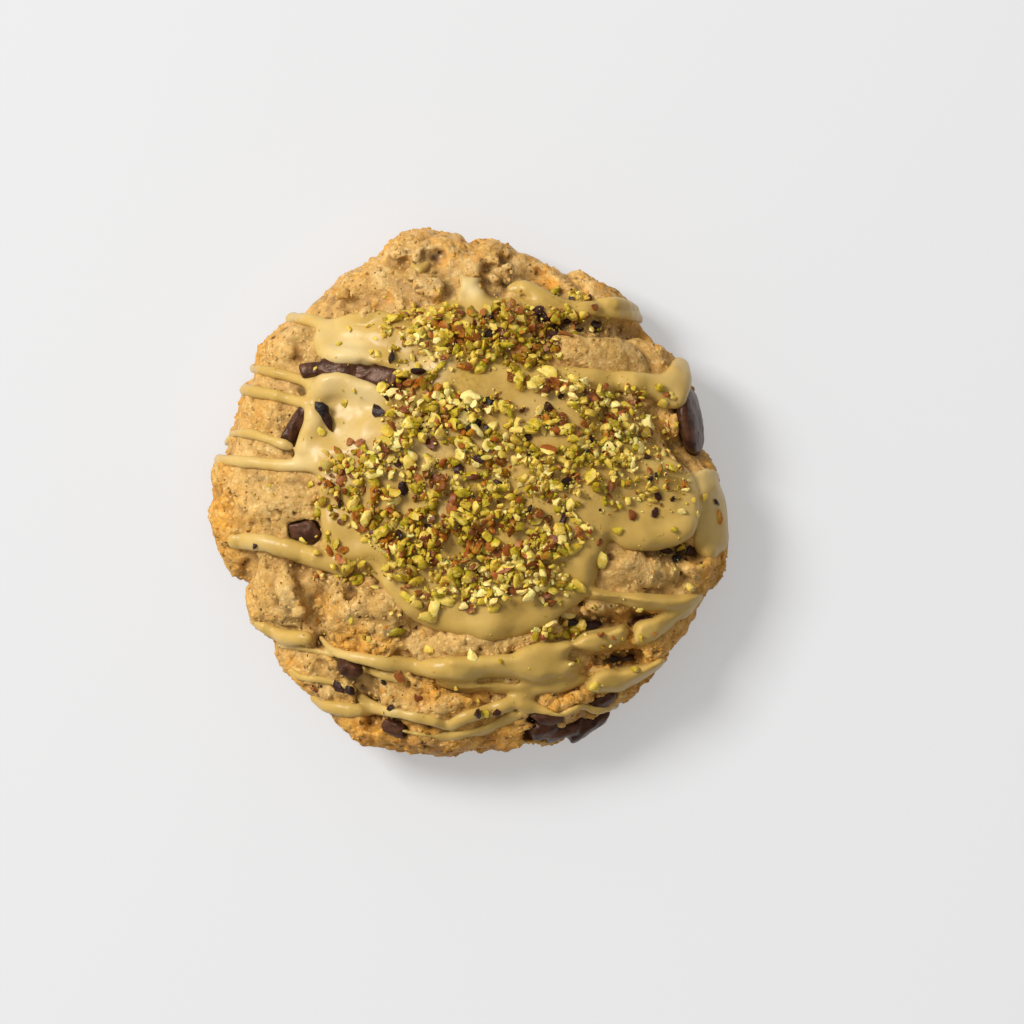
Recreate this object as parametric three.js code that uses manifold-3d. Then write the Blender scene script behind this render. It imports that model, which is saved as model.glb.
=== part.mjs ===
// Pistachio cookie: a thick, lumpy baked cookie with embedded chocolate pieces, a pool of
// pistachio cream with drizzled strands, and chopped pistachios strewn over it.
// Millimetres, +Z up. The flat browned base lies on z = 0 and the origin is its centre.

import * as THREE from 'three';
import { mergeVertices } from 'three/addons/utils/BufferGeometryUtils.js';
import Module from 'manifold-3d';

const wasm = await Module();
wasm.setup();

// ---------------------------------------------------------------- driving dimensions

const OUTLINE_RADIUS = 46.3;        // mean radius of the cookie seen from above
const WIDEST_HEIGHT = 8.5;          // height above the base of the widest girth
const CROWN_HEIGHT = 26.5;          // height of the bare dough in the middle
const DOME_POWER = 2.25;            // 2 is an ellipse, more is a flatter top with a fuller shoulder
const BASE_TUCK = 0.075;            // share of the radius that the base is drawn in by
const TUCK_POWER = 2;
const CREASE = 0.9;                 // how softly lumps melt into the body
const GROOVE_BLEND = 1.1;           // how softly crevices cut into it
const GAP = 0.3;                    // clearance between touching pieces

// Bumps and dents of the outline: direction in degrees from +X, spread in degrees, rise in mm.
const OUTLINE_LOBES = [
  { angle: 247, spread: 17, rise: 2.7 },
  { angle: 298, spread: 15, rise: 1.9 },
  { angle: 347, spread: 10, rise: 1.9 },
  { angle: 101, spread: 8, rise: 2.9 },
  { angle: 187, spread: 9, rise: 1.3 },
  { angle: 14, spread: 9, rise: -3.9 },
  { angle: 40, spread: 6, rise: -3.4 },
  { angle: 70, spread: 8, rise: -2.6 },
  { angle: 130, spread: 6, rise: -1.5 },
  { angle: 163, spread: 11, rise: -0.7 },
  { angle: 204, spread: 5, rise: -0.8 },
];

// Places on the top are read off the photograph, taken from straight above.
const PHOTO_CENTRE_X = 470;         // pixel under which the cookie's centre lies
const PHOTO_CENTRE_Y = 492;
const MM_PER_PIXEL = 0.1825;

// Lumps of dough that stand out: place, half length and half width in mm, turn in degrees
// and how far they rise above the dome in mm.
const LUMPS = [
  { at: [600, 352], size: [10.5, 5.6], turn: -12, rise: 3.0 },   // smooth mound, upper right
  { at: [650, 352], size: [6, 4.5], turn: -50, rise: 1.8 },
  { at: [430, 250], size: [8, 5], turn: 10, rise: 2.0 },         // cracked crust along the top
  { at: [482, 262], size: [8, 6], turn: -15, rise: 2.3 },
  { at: [372, 283], size: [7, 5], turn: 35, rise: 1.6 },
  { at: [548, 282], size: [6.5, 4], turn: -20, rise: 1.6 },
  { at: [606, 297], size: [5, 3.5], turn: -35, rise: 1.9 },
  { at: [425, 292], size: [3.4, 3], turn: 0, rise: 2.0 },
  { at: [372, 312], size: [4.5, 2.4], turn: 0, rise: 1.6 },
  { at: [284, 350], size: [5, 4.2], turn: 50, rise: 2.0 },
  { at: [268, 420], size: [4.6, 4], turn: 80, rise: 1.6 },
  { at: [272, 503], size: [9, 5.5], turn: 5, rise: 1.8 },        // pitted flat patch, left
  { at: [226, 515], size: [6, 4.5], turn: 90, rise: 1.8 },
  { at: [277, 590], size: [8, 6.5], turn: -35, rise: 2.6 },      // lower left lobe
  { at: [368, 604], size: [9.5, 6.8], turn: -8, rise: 2.8 },     // lump above the lower band
  { at: [470, 644], size: [9, 3.6], turn: 0, rise: 2.2 },        // sandy ridge under the pool
  { at: [300, 668], size: [5, 3.6], turn: -35, rise: 1.6 },
  { at: [440, 700], size: [12, 5.5], turn: -3, rise: 2.3 },      // lower face
  { at: [408, 738], size: [6.5, 4.5], turn: -15, rise: 1.9 },
  { at: [500, 738], size: [7.5, 4.5], turn: 5, rise: 1.6 },
  { at: [577, 697], size: [4.6, 3.2], turn: 25, rise: 2.0 },
  { at: [640, 568], size: [9, 4.6], turn: -10, rise: 2.3 },      // smooth patch, lower right
  { at: [702, 566], size: [4.4, 4], turn: 30, rise: 1.9 },
  { at: [668, 432], size: [4.6, 4.8], turn: 0, rise: 1.5 },      // wedge between the cream arms
  { at: [706, 462], size: [3.6, 3.4], turn: 0, rise: 1.6 },
  { at: [655, 648], size: [5.2, 3.8], turn: 30, rise: 1.9 },
  { at: [610, 618], size: [3.4, 2.4], turn: 0, rise: 1.5 },
];

// Smaller nodules all over the crust, drawn by rule round the side and over the bare top.
const SEED = 417;
const SIDE_NODULES = { count: 80, low: 2, high: 17, least: 3.2, most: 6.2, riseLeast: 0.5, riseMost: 1.7 };
const TOP_NODULES = {
  count: 96, inner: 0.4, outer: 0.93, least: 2.0, most: 4.6, riseLeast: 0.3, riseMost: 1.3,
};
const NODULE_SQUASH = 0.75;         // depth of a nodule against its width
const TURN_BY_GOLDEN_ANGLE = 137.508;

// Crevices between the lumps: route on the top, radius and depth in mm.
const GROOVES = [
  { route: [[300, 566], [309, 590], [318, 615], [322, 642], [345, 662], [364, 676], [366, 705], [372, 722]],
    radius: 2.0, depth: 2.3 },
  { route: [[345, 566], [351, 584], [352, 596]], radius: 1.0, depth: 1.5 },
  { route: [[560, 640], [590, 630], [618, 630], [640, 622]], radius: 1.2, depth: 3.0 },
  { route: [[655, 548], [676, 551], [698, 553]], radius: 1.2, depth: 2.6 },
  { route: [[545, 325], [568, 322], [606, 325], [645, 333]], radius: 1.2, depth: 2.4 },
  { route: [[400, 284], [420, 306], [452, 309]], radius: 0.8, depth: 1.6 },
  { route: [[488, 268], [512, 280], [540, 272]], radius: 0.8, depth: 1.6 },
  { route: [[640, 660], [676, 640], [700, 606]], radius: 1.0, depth: 1.9 },
  { route: [[236, 545], [252, 560], [240, 585]], radius: 1.1, depth: 1.3 },
  { route: [[262, 650], [300, 652], [330, 665]], radius: 1.3, depth: 1.5 },
];

// The cream pool: outline from above, going round anticlockwise from its right side.
const POOL_CENTRE = [492, 492];
const POOL_OUTLINE = [
  [690, 494], [686, 474], [656, 453], [628, 443], [606, 430], [612, 404], [618, 378], [585, 373],
  [540, 370], [505, 367], [470, 363], [438, 376], [405, 387], [372, 378], [338, 374], [308, 397],
  [312, 430], [300, 452], [316, 474], [319, 507], [322, 538], [346, 560], [394, 578], [404, 602],
  [430, 625], [462, 631], [497, 636], [532, 626], [567, 605], [586, 583], [614, 549], [634, 541],
  [674, 541], [689, 524],
];
const POOL_RISE = 2.3;              // thickness of the pool over the dome
const POOL_DEPTH = 3;               // how far its blank reaches into the dome before it is cut
// Rounded shoulder of the pool: share of the way out, and share of the full thickness.
const POOL_SHOULDER = [[1, 0.4], [0.975, 0.82], [0.92, 1], [0.72, 0.95], [0.45, 0.9]];

// Arms that flow out of the pool: route, half width in mm at each end, and height against width.
const ARMS = [
  { route: [[600, 388], [640, 390], [668, 388], [680, 376]], radius: [2.4, 2.2], flat: 0.8 },
  { route: [[255, 366], [283, 371], [322, 384]], radius: [1.0, 0.9], flat: 1 },
  { route: [[250, 390], [275, 396], [318, 406]], radius: [1, 1], flat: 1 },
  { route: [[226, 457], [262, 460], [316, 466]], radius: [0.9, 1], flat: 1 },
  { route: [[240, 537], [268, 545], [305, 552], [350, 560]], radius: [1.5, 1.9], flat: 0.9 },
  { route: [[580, 590], [614, 594], [639, 602], [674, 605], [698, 599]], radius: [1.4, 1.6], flat: 0.9 },
];

// Drizzle and patches of cream that lie on the dough apart from the pool.
const DRIZZLES = [
  { route: [[243, 430], [262, 433], [280, 440], [291, 443]], radius: [0.8, 0.9], flat: 1 },
  { route: [[253, 620], [270, 632], [290, 639], [312, 640]], radius: [0.9, 1.5], flat: 0.9 },
  { route: [[286, 649], [310, 652], [333, 656]], radius: [0.6, 0.7], flat: 0.9 },
  { route: [[288, 668], [304, 675], [332, 685], [352, 689]], radius: [0.7, 0.8], flat: 0.9 },
  { route: [[319, 698], [336, 705], [352, 709], [370, 706]], radius: [1.5, 1.7], flat: 0.9 },
  { route: [[323, 638], [346, 651], [390, 662], [430, 667], [480, 667], [514, 664], [546, 655], [578, 646]],
    radius: [1.1, 2.4], flat: 0.75 },
  { route: [[440, 683], [486, 686], [528, 688]], radius: [0.8, 0.8], flat: 0.8 },
  { route: [[365, 698], [387, 711], [414, 714], [450, 722], [480, 712], [526, 695]],
    radius: [1.1, 1.3], flat: 0.9 },
  { route: [[584, 641], [604, 637], [621, 632]], radius: [1.9, 1.8], flat: 0.8 },
  { route: [[638, 632], [660, 623], [682, 613]], radius: [1.4, 1.2], flat: 0.8 },
  { route: [[585, 681], [612, 677], [640, 672], [660, 665]], radius: [1.9, 1.7], flat: 0.7 },
  { route: [[704, 482], [712, 505], [714, 528], [707, 546]], radius: [1.9, 2.8], flat: 0.5 },
  { route: [[333, 338], [356, 343], [392, 342], [424, 336]], radius: [3.4, 3.4], flat: 0.5 },
  { route: [[292, 322], [308, 327], [326, 334]], radius: [1.3, 1.6], flat: 0.8 },
  { route: [[450, 318], [478, 313], [512, 306]], radius: [2.4, 2.2], flat: 0.5 },
  { route: [[512, 292], [538, 297], [567, 306], [598, 315], [638, 318]], radius: [1.7, 1.5], flat: 0.8 },
];
const BEAD_LIFT = 0.42;             // centre line of a strand above the dough, in half widths
const BEAD_SIDES = 6;
const BEAD_CAP_RINGS = 2;
const BEAD_STEP = 5.5;              // length of strand between its rings, in mm

// Chocolate pieces: worn-round discs and chips, pressed into the dough. Half sizes in mm along
// and across the face and through it, the face's turn in degrees about the dough's normal, and
// how far the middle stands above the dough. The disc at the right edge stands almost upright:
// the height of its middle and the angle at which its face looks up are given instead.
const CHOCOLATE = [
  { name: 'chocolate_right_edge', at: [691, 421], size: [6.2, 6.2, 1.9], turn: 90, height: 14.5, lean: 18 },
  { name: 'chocolate_lower_right', at: [572, 727], size: [6.9, 4.4, 2.4], turn: 18, stand: -0.7 },
  { name: 'chocolate_lower_right_chip', at: [599, 699], size: [3.3, 1.7, 1.3], turn: 12, stand: 0.1 },
  { name: 'chocolate_upper_left_tip', at: [316, 373], size: [2.2, 1.5, 1.3], turn: -20, stand: 0.1 },
  { name: 'chocolate_upper_left', at: [345, 368], size: [3.0, 1.9, 1.5], turn: -5, stand: 0.1 },
  { name: 'chocolate_upper_left_end', at: [384, 377], size: [3.4, 1.9, 1.5], turn: -25, stand: 0.2 },
  { name: 'chocolate_left', at: [296, 425], size: [3.4, 2.2, 1.6], turn: 60, stand: 0 },
  { name: 'chocolate_left_middle', at: [302, 530], size: [3.4, 2.2, 1.5], turn: 5, stand: -0.2 },
  { name: 'chocolate_lower_left', at: [350, 667], size: [2.8, 1.7, 1.4], turn: -10, stand: 0.2 },
  { name: 'chocolate_bottom', at: [396, 726], size: [2.4, 1.5, 1.2], turn: -30, stand: 0.1 },
];
const CHOCOLATE_ROUNDNESS = 2.6;    // 2 is an ellipsoid, more is nearer to a disc with round edges
const CHOCOLATE_SIDES = 10;
const CHOCOLATE_RINGS = 5;

// Chopped pistachios big enough to count: fields from above, with how many and how big.
const POOL_NUTS = [
  { at: [470, 470], spread: [24, 21], count: 38, least: 0.75, most: 1.35 },
  { at: [590, 440], spread: [15, 13], count: 15, least: 0.75, most: 1.3 },
  { at: [520, 560], spread: [14, 8], count: 8, least: 0.8, most: 1.3 },
];
const DOUGH_NUTS = [
  { at: [520, 335], spread: [15, 4.5], count: 13, least: 0.8, most: 1.35 },
  { at: [438, 326], spread: [5, 5], count: 4, least: 0.8, most: 1.2 },
  { at: [585, 300], spread: [8, 2], count: 4, least: 0.8, most: 1.2 },
  { at: [570, 634], spread: [6, 1.6], count: 4, least: 0.8, most: 1.2 },
];
const NUT_SPACING = 2.6;            // least distance between two of these pieces
const NUT_LIFT = 0.3;               // middle of a piece above its bed, in half sizes
const NUT_TRIES = 60;
const POOL_EDGE = 2.6;              // nuts on the pool keep this far in from its edge
const POOL_CLEAR = 2.2;             // and nuts on the dough this far out from it

// Facets: the blank of the dough is a rounded disc whose points are cast out onto its surface.
const BLANK_RADIUS = 35;
const BLANK_HEIGHT = 7;
const BLANK_FILLET = 6;
const BLANK_SEGMENTS = 70;
const BLANK_TOP_RINGS = [0.92, 0.84, 0.76, 0.67, 0.55, 0.4, 0.2];
const BLANK_BASE_RINGS = [0.6];
const BLANK_RIM_STEPS = 9;
const POOL_SEGMENTS = 56;
const CAST_REACH = 36;
const CAST_STEP = 0.6;
const CAST_HALVINGS = 12;
const NORMAL_STEP = 0.05;

// ---------------------------------------------------------------- small helpers

const degrees = Math.PI / 180;

function place(pixel) {
  const x = (pixel[0] - PHOTO_CENTRE_X) * MM_PER_PIXEL;
  const y = (PHOTO_CENTRE_Y - pixel[1]) * MM_PER_PIXEL;
  return [x, y];
}

// A linear congruential generator, so that every draw is the same on every run.
function drawer(seed) {
  let state = seed >>> 0;
  return function draw(least = 0, most = 1) {
    state = (Math.imul(state, 1664525) + 1013904223) >>> 0;
    return least + (most - least) * (state / 4294967296);
  };
}

function smoothUnion(a, b, blend) {
  const share = Math.max(blend - Math.abs(a - b), 0) / blend;
  return Math.min(a, b) - share * share * blend / 4;
}

function smoothCut(a, b, blend) {
  return -smoothUnion(-a, b, blend);
}

// ---------------------------------------------------------------- the dough as a function
// Every function below gives a signed distance in mm: below zero is inside.

function outlineRadius(angle) {
  let radius = OUTLINE_RADIUS;
  for (const lobe of OUTLINE_LOBES) {
    const turn = ((angle / degrees - lobe.angle + 540) % 360) - 180;
    radius += lobe.rise * Math.exp(-((turn / lobe.spread) ** 2));
  }
  return radius;
}

function bodyDistance(x, y, z) {
  const radius = Math.hypot(x, y);
  const rim = outlineRadius(Math.atan2(y, x));
  if (z <= WIDEST_HEIGHT) {
    const low = (WIDEST_HEIGHT - z) / WIDEST_HEIGHT;
    return radius - rim * (1 - BASE_TUCK * low ** TUCK_POWER);
  }
  const height = CROWN_HEIGHT - WIDEST_HEIGHT;
  const u = radius / rim;
  const v = (z - WIDEST_HEIGHT) / height;
  const k = (u ** DOME_POWER + v ** DOME_POWER) ** (1 / DOME_POWER);
  if (k < 0.2) return (k - 1) * height;
  const slope = Math.hypot(u ** (DOME_POWER - 1) / rim, v ** (DOME_POWER - 1) / height);
  return (k - 1) / (slope * k ** (1 - DOME_POWER));
}

function bodyTop(x, y) {
  const u = Math.min(Math.hypot(x, y) / outlineRadius(Math.atan2(y, x)), 0.999);
  const rise = (1 - u ** DOME_POWER) ** (1 / DOME_POWER);
  return WIDEST_HEIGHT + (CROWN_HEIGHT - WIDEST_HEIGHT) * rise;
}

function normalOf(distance, x, y, z) {
  const h = NORMAL_STEP;
  const normal = new THREE.Vector3(
    distance(x + h, y, z) - distance(x - h, y, z),
    distance(x, y + h, z) - distance(x, y - h, z),
    distance(x, y, z + h) - distance(x, y, z - h),
  );
  return normal.normalize();
}

// Three axes at a point of the surface: along and across it, and straight out.
function axesAt(distance, x, y, z, turn) {
  const out = normalOf(distance, x, y, z);
  const along = new THREE.Vector3(Math.cos(turn * degrees), Math.sin(turn * degrees), 0);
  along.addScaledVector(out, -along.dot(out)).normalize();
  const across = new THREE.Vector3().crossVectors(out, along);
  return { along, across, out };
}

function lumpAt(point, size, turn, rise) {
  const [x, y, z] = point;
  const axes = axesAt(bodyDistance, x, y, z, turn);
  const depth = Math.min(size[0], size[1]) * NODULE_SQUASH;
  const centre = new THREE.Vector3(x, y, z).addScaledVector(axes.out, rise - depth);
  return { centre, axes, radii: [size[0], size[1], depth], reach: Math.max(...size) + CREASE };
}

function lumpDistance(lump, x, y, z) {
  const dx = x - lump.centre.x;
  const dy = y - lump.centre.y;
  const dz = z - lump.centre.z;
  const { along, across, out } = lump.axes;
  const a = (dx * along.x + dy * along.y + dz * along.z) / lump.radii[0];
  const b = (dx * across.x + dy * across.y + dz * across.z) / lump.radii[1];
  const c = (dx * out.x + dy * out.y + dz * out.z) / lump.radii[2];
  const k = Math.hypot(a, b, c);
  const slope = Math.hypot(a / lump.radii[0], b / lump.radii[1], c / lump.radii[2]);
  return slope > 0 ? k * (k - 1) / slope : -lump.radii[2];
}

function namedLumps() {
  return LUMPS.map((lump) => {
    const [x, y] = place(lump.at);
    return lumpAt([x, y, bodyTop(x, y)], lump.size, lump.turn, lump.rise);
  });
}

function sidePoint(angle, z) {
  const rim = outlineRadius(angle);
  let radius = rim * (1 - BASE_TUCK * ((WIDEST_HEIGHT - z) / WIDEST_HEIGHT) ** TUCK_POWER);
  if (z > WIDEST_HEIGHT) {
    const v = (z - WIDEST_HEIGHT) / (CROWN_HEIGHT - WIDEST_HEIGHT);
    radius = rim * (1 - v ** DOME_POWER) ** (1 / DOME_POWER);
  }
  return [radius * Math.cos(angle), radius * Math.sin(angle), z];
}

function nodules(draw) {
  const found = [];
  for (let i = 0; i < SIDE_NODULES.count; i++) {
    const angle = (i * TURN_BY_GOLDEN_ANGLE + draw(-9, 9)) * degrees;
    const point = sidePoint(angle, draw(SIDE_NODULES.low, SIDE_NODULES.high));
    const size = [draw(SIDE_NODULES.least, SIDE_NODULES.most), draw(SIDE_NODULES.least, SIDE_NODULES.most)];
    found.push(lumpAt(point, size, draw(0, 180), draw(SIDE_NODULES.riseLeast, SIDE_NODULES.riseMost)));
  }
  for (let i = 0; i < TOP_NODULES.count; i++) {
    const angle = (i * TURN_BY_GOLDEN_ANGLE + draw(-9, 9)) * degrees;
    const radius = outlineRadius(angle) * Math.sqrt(draw(TOP_NODULES.inner ** 2, TOP_NODULES.outer ** 2));
    const x = radius * Math.cos(angle);
    const y = radius * Math.sin(angle);
    const size = [draw(TOP_NODULES.least, TOP_NODULES.most), draw(TOP_NODULES.least, TOP_NODULES.most)];
    const rise = draw(TOP_NODULES.riseLeast, TOP_NODULES.riseMost);
    found.push(lumpAt([x, y, bodyTop(x, y)], size, draw(0, 180), rise));
  }
  return found;
}

// Each crevice becomes a chain of round-ended cutters that run along the dome.
function grooveSegments() {
  const segments = [];
  for (const groove of GROOVES) {
    const points = groove.route.map((pixel) => {
      const [x, y] = place(pixel);
      return new THREE.Vector3(x, y, bodyTop(x, y) + groove.radius - groove.depth + CREASE);
    });
    for (let i = 1; i < points.length; i++) {
      segments.push({ from: points[i - 1], to: points[i], radius: groove.radius });
    }
  }
  return segments;
}

function segmentDistance(segment, x, y, z) {
  const { from, to } = segment;
  const run = [to.x - from.x, to.y - from.y, to.z - from.z];
  const off = [x - from.x, y - from.y, z - from.z];
  const length2 = run[0] ** 2 + run[1] ** 2 + run[2] ** 2;
  const share = Math.min(Math.max((off[0] * run[0] + off[1] * run[1] + off[2] * run[2]) / length2, 0), 1);
  const away = off.map((value, i) => value - run[i] * share);
  return Math.hypot(...away) - segment.radius;
}

const draw = drawer(SEED);
const lumps = [...namedLumps(), ...nodules(draw)];
const grooves = grooveSegments();

function doughDistance(x, y, z) {
  let distance = bodyDistance(x, y, z);
  for (const lump of lumps) {
    if (Math.abs(x - lump.centre.x) > lump.reach || Math.abs(y - lump.centre.y) > lump.reach) continue;
    distance = smoothUnion(distance, lumpDistance(lump, x, y, z), CREASE);
  }
  for (const groove of grooves) {
    distance = smoothCut(distance, segmentDistance(groove, x, y, z), GROOVE_BLEND);
  }
  return Math.max(distance, -z);
}

// Outermost point of the dough along a ray, where the distance equals the given level.
function cast(from, direction, level) {
  const at = (t) => doughDistance(
    from.x + direction.x * t, from.y + direction.y * t, from.z + direction.z * t) - level;
  let inner = CAST_REACH;
  while (inner > 0 && at(inner) > 0) inner -= CAST_STEP;
  let outer = inner + CAST_STEP;
  for (let i = 0; i < CAST_HALVINGS; i++) {
    const middle = (inner + outer) / 2;
    if (at(middle) > 0) outer = middle;
    else inner = middle;
  }
  return from.clone().addScaledVector(direction, inner);
}

const UP = new THREE.Vector3(0, 0, 1);

function doughTop(x, y) {
  return cast(new THREE.Vector3(x, y, 0), UP, 0);
}

// ---------------------------------------------------------------- solids

// Merges a geometry's vertices and hands them over as a solid with its faces pointing out.
function solidOf(geometry) {
  const bare = geometry.clone();
  for (const name of Object.keys(bare.attributes)) {
    if (name !== 'position') bare.deleteAttribute(name);
  }
  const merged = mergeVertices(bare, 1e-5);
  const position = merged.attributes.position.array;
  const triangles = [];
  for (let i = 0; i < merged.index.count; i += 3) {
    const [a, b, c] = [merged.index.array[i], merged.index.array[i + 1], merged.index.array[i + 2]];
    if (a !== b && b !== c && c !== a) triangles.push(a, b, c);
  }
  if (signedVolume(position, triangles) < 0) triangles.reverse();
  return new wasm.Manifold(new wasm.Mesh({
    numProp: 3,
    vertProperties: new Float32Array(position),
    triVerts: new Uint32Array(triangles),
  }));
}

function signedVolume(position, triangles) {
  const corner = (i) => new THREE.Vector3(position[3 * i], position[3 * i + 1], position[3 * i + 2]);
  let volume = 0;
  for (let i = 0; i < triangles.length; i += 3) {
    const [a, b, c] = [corner(triangles[i]), corner(triangles[i + 1]), corner(triangles[i + 2])];
    volume += a.dot(b.cross(c)) / 6;
  }
  return volume;
}

function moveVertices(geometry, move) {
  const position = geometry.attributes.position;
  for (let i = 0; i < position.count; i++) {
    const moved = move(new THREE.Vector3().fromBufferAttribute(position, i));
    position.setXYZ(i, moved.x, moved.y, moved.z);
  }
  return geometry;
}

// The largest piece of a solid, so that a scrap cut loose is dropped.
function largestPiece(solid) {
  const pieces = solid.decompose();
  pieces.sort((a, b) => b.volume() - a.volume());
  return pieces[0];
}

function meshOf(name, solid, material) {
  const { vertProperties, triVerts } = solid.getMesh();
  const geometry = new THREE.BufferGeometry();
  geometry.setAttribute('position', new THREE.BufferAttribute(new Float32Array(vertProperties), 3));
  geometry.setIndex(new THREE.BufferAttribute(new Uint32Array(triVerts), 1));
  const mesh = new THREE.Mesh(geometry, material);
  mesh.name = name;
  return mesh;
}

// Finds the top of a faceted solid at a place, so that what lies there touches its facets.
function topFinder(solid) {
  const mesh = meshOf('bed', solid, new THREE.MeshBasicMaterial());
  const ray = new THREE.Raycaster();
  return (x, y) => {
    ray.set(new THREE.Vector3(x, y, CAST_REACH), new THREE.Vector3(0, 0, -1));
    return ray.intersectObject(mesh)[0].point;
  };
}

// A rounded disc in a lathe's profile, from the middle of its base to the middle of its top.
function blankProfile() {
  const low = BLANK_HEIGHT - BLANK_FILLET;
  const high = BLANK_HEIGHT + BLANK_FILLET;
  const profile = [new THREE.Vector2(0, low)];
  for (const share of BLANK_BASE_RINGS) profile.push(new THREE.Vector2(BLANK_RADIUS * share, low));
  for (let i = 0; i <= BLANK_RIM_STEPS; i++) {
    const angle = (i / BLANK_RIM_STEPS - 0.5) * Math.PI;
    const out = BLANK_RADIUS + BLANK_FILLET * Math.cos(angle);
    profile.push(new THREE.Vector2(out, BLANK_HEIGHT + BLANK_FILLET * Math.sin(angle)));
  }
  for (const share of BLANK_TOP_RINGS) profile.push(new THREE.Vector2(BLANK_RADIUS * share, high));
  profile.push(new THREE.Vector2(0, high));
  return profile;
}

// The dough: each vertex of the blank is cast out onto the dough's surface, or GAP beyond it.
function doughBody(level) {
  const blank = new THREE.LatheGeometry(blankProfile(), BLANK_SEGMENTS);
  blank.rotateX(Math.PI / 2);
  moveVertices(blank, (vertex) => {
    const radius = Math.hypot(vertex.x, vertex.y);
    const held = Math.min(radius, BLANK_RADIUS) / Math.max(radius, 1e-9);
    const from = new THREE.Vector3(vertex.x * held, vertex.y * held, BLANK_HEIGHT);
    const direction = vertex.clone().sub(from).normalize();
    return cast(from, direction, level);
  });
  return solidOf(blank);
}

const body = doughBody(0);
const bodyFacetTop = topFinder(body);

// The cream pool: a lathe disc stretched to the outline and laid over the dome.
function poolBlank() {
  const profile = [new THREE.Vector2(0, -POOL_DEPTH), new THREE.Vector2(1, -POOL_DEPTH)];
  for (const [share, thickness] of POOL_SHOULDER) {
    profile.push(new THREE.Vector2(share, POOL_RISE * thickness));
  }
  profile.push(new THREE.Vector2(0, POOL_RISE * POOL_SHOULDER.at(-1)[1]));
  const disc = new THREE.LatheGeometry(profile, POOL_SEGMENTS);
  disc.rotateX(Math.PI / 2);
  const [centreX, centreY] = place(POOL_CENTRE);
  const corners = POOL_OUTLINE.map((pixel) => new THREE.Vector3(...place(pixel), 0));
  const outline = new THREE.CatmullRomCurve3(corners, true, 'catmullrom', 0.5);
  moveVertices(disc, (vertex) => {
    const turn = Math.atan2(vertex.y, vertex.x) / (2 * Math.PI);
    const edge = outline.getPointAt((Math.round(turn * POOL_SEGMENTS) / POOL_SEGMENTS + 1) % 1);
    const share = Math.hypot(vertex.x, vertex.y);
    const x = centreX + (edge.x - centreX) * share;
    const y = centreY + (edge.y - centreY) * share;
    return new THREE.Vector3(x, y, bodyTop(x, y) + vertex.z);
  });
  return solidOf(disc);
}

// A strand of cream: a capsule bent along a route on the dough, its thickness changing evenly.
function bead({ route, radius, flat }, grow = 0) {
  const points = route.map((pixel) => bodyFacetTop(...place(pixel)));
  const curve = new THREE.CatmullRomCurve3(points, false, 'centripetal');
  const steps = Math.max(2, Math.round(curve.getLength() / BEAD_STEP));
  const capsule = new THREE.CapsuleGeometry(1, steps, BEAD_CAP_RINGS, BEAD_SIDES, steps);
  moveVertices(capsule, (vertex) => {
    const run = Math.min(Math.max(vertex.y, -steps / 2), steps / 2);
    const share = run / steps + 0.5;
    const size = radius[0] + (radius[1] - radius[0]) * share;
    const height = size * flat + grow;
    const bed = curve.getPointAt(share);
    const ahead = curve.getTangentAt(share);
    const ground = bodyFacetTop(bed.x, bed.y);
    const out = normalOf(bodyDistance, ground.x, ground.y, ground.z);
    const side = new THREE.Vector3().crossVectors(ahead, out).normalize();
    return ground
      .addScaledVector(out, size * flat * BEAD_LIFT + height * vertex.z)
      .addScaledVector(side, (size + grow) * vertex.x)
      .addScaledVector(ahead, (size + grow) * (vertex.y - run));
  });
  return solidOf(capsule);
}

// Where a chocolate piece sits and how it is turned.
function seatOf({ at, turn, stand, height, lean }) {
  const [x, y] = place(at);
  if (lean === undefined) {
    const ground = doughTop(x, y);
    const axes = axesAt(bodyDistance, ground.x, ground.y, ground.z, turn);
    return { middle: ground.addScaledVector(axes.out, stand), ...axes };
  }
  const level = new THREE.Vector3(x, y, 0).normalize();
  const out = level.clone().multiplyScalar(Math.cos(lean * degrees)).setZ(Math.sin(lean * degrees));
  const along = new THREE.Vector3(-level.y, level.x, 0);
  return { middle: new THREE.Vector3(x, y, height), along, across: out.clone().cross(along), out };
}

// A chocolate piece: a round-edged disc pressed into the dough. The grown copy cuts its pocket.
function chocolate(piece, grow) {
  const { size } = piece;
  const { middle, along, across, out } = seatOf(piece);
  const ball = new THREE.SphereGeometry(1, CHOCOLATE_SIDES, CHOCOLATE_RINGS);
  const power = 2 / CHOCOLATE_ROUNDNESS;
  ball.rotateX(Math.PI / 2);
  moveVertices(ball, (vertex) => {
    const level = Math.hypot(vertex.x, vertex.y);
    const reach = level > 1e-6 ? level ** power / level : 0;
    const height = Math.sign(vertex.z) * Math.abs(vertex.z) ** power;
    return middle.clone()
      .addScaledVector(along, vertex.x * reach * (size[0] + grow))
      .addScaledVector(across, vertex.y * reach * (size[1] + grow))
      .addScaledVector(out, height * (size[2] + grow));
  });
  return solidOf(ball);
}

// One chopped nut: an uneven icosahedron, turned at random and set into what it lies on.
function nut(x, y, z, size) {
  const stretch = [draw(0.75, 1.25), draw(0.75, 1.1), draw(0.6, 0.9)];
  const turn = new THREE.Euler(draw(-0.5, 0.5), draw(-0.5, 0.5), draw(0, 2 * Math.PI));
  const chip = new THREE.IcosahedronGeometry(size, 0);
  chip.scale(...stretch);
  moveVertices(chip, (vertex) => vertex.applyEuler(turn).add(new THREE.Vector3(x, y, z + size * NUT_LIFT)));
  return solidOf(chip);
}

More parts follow.
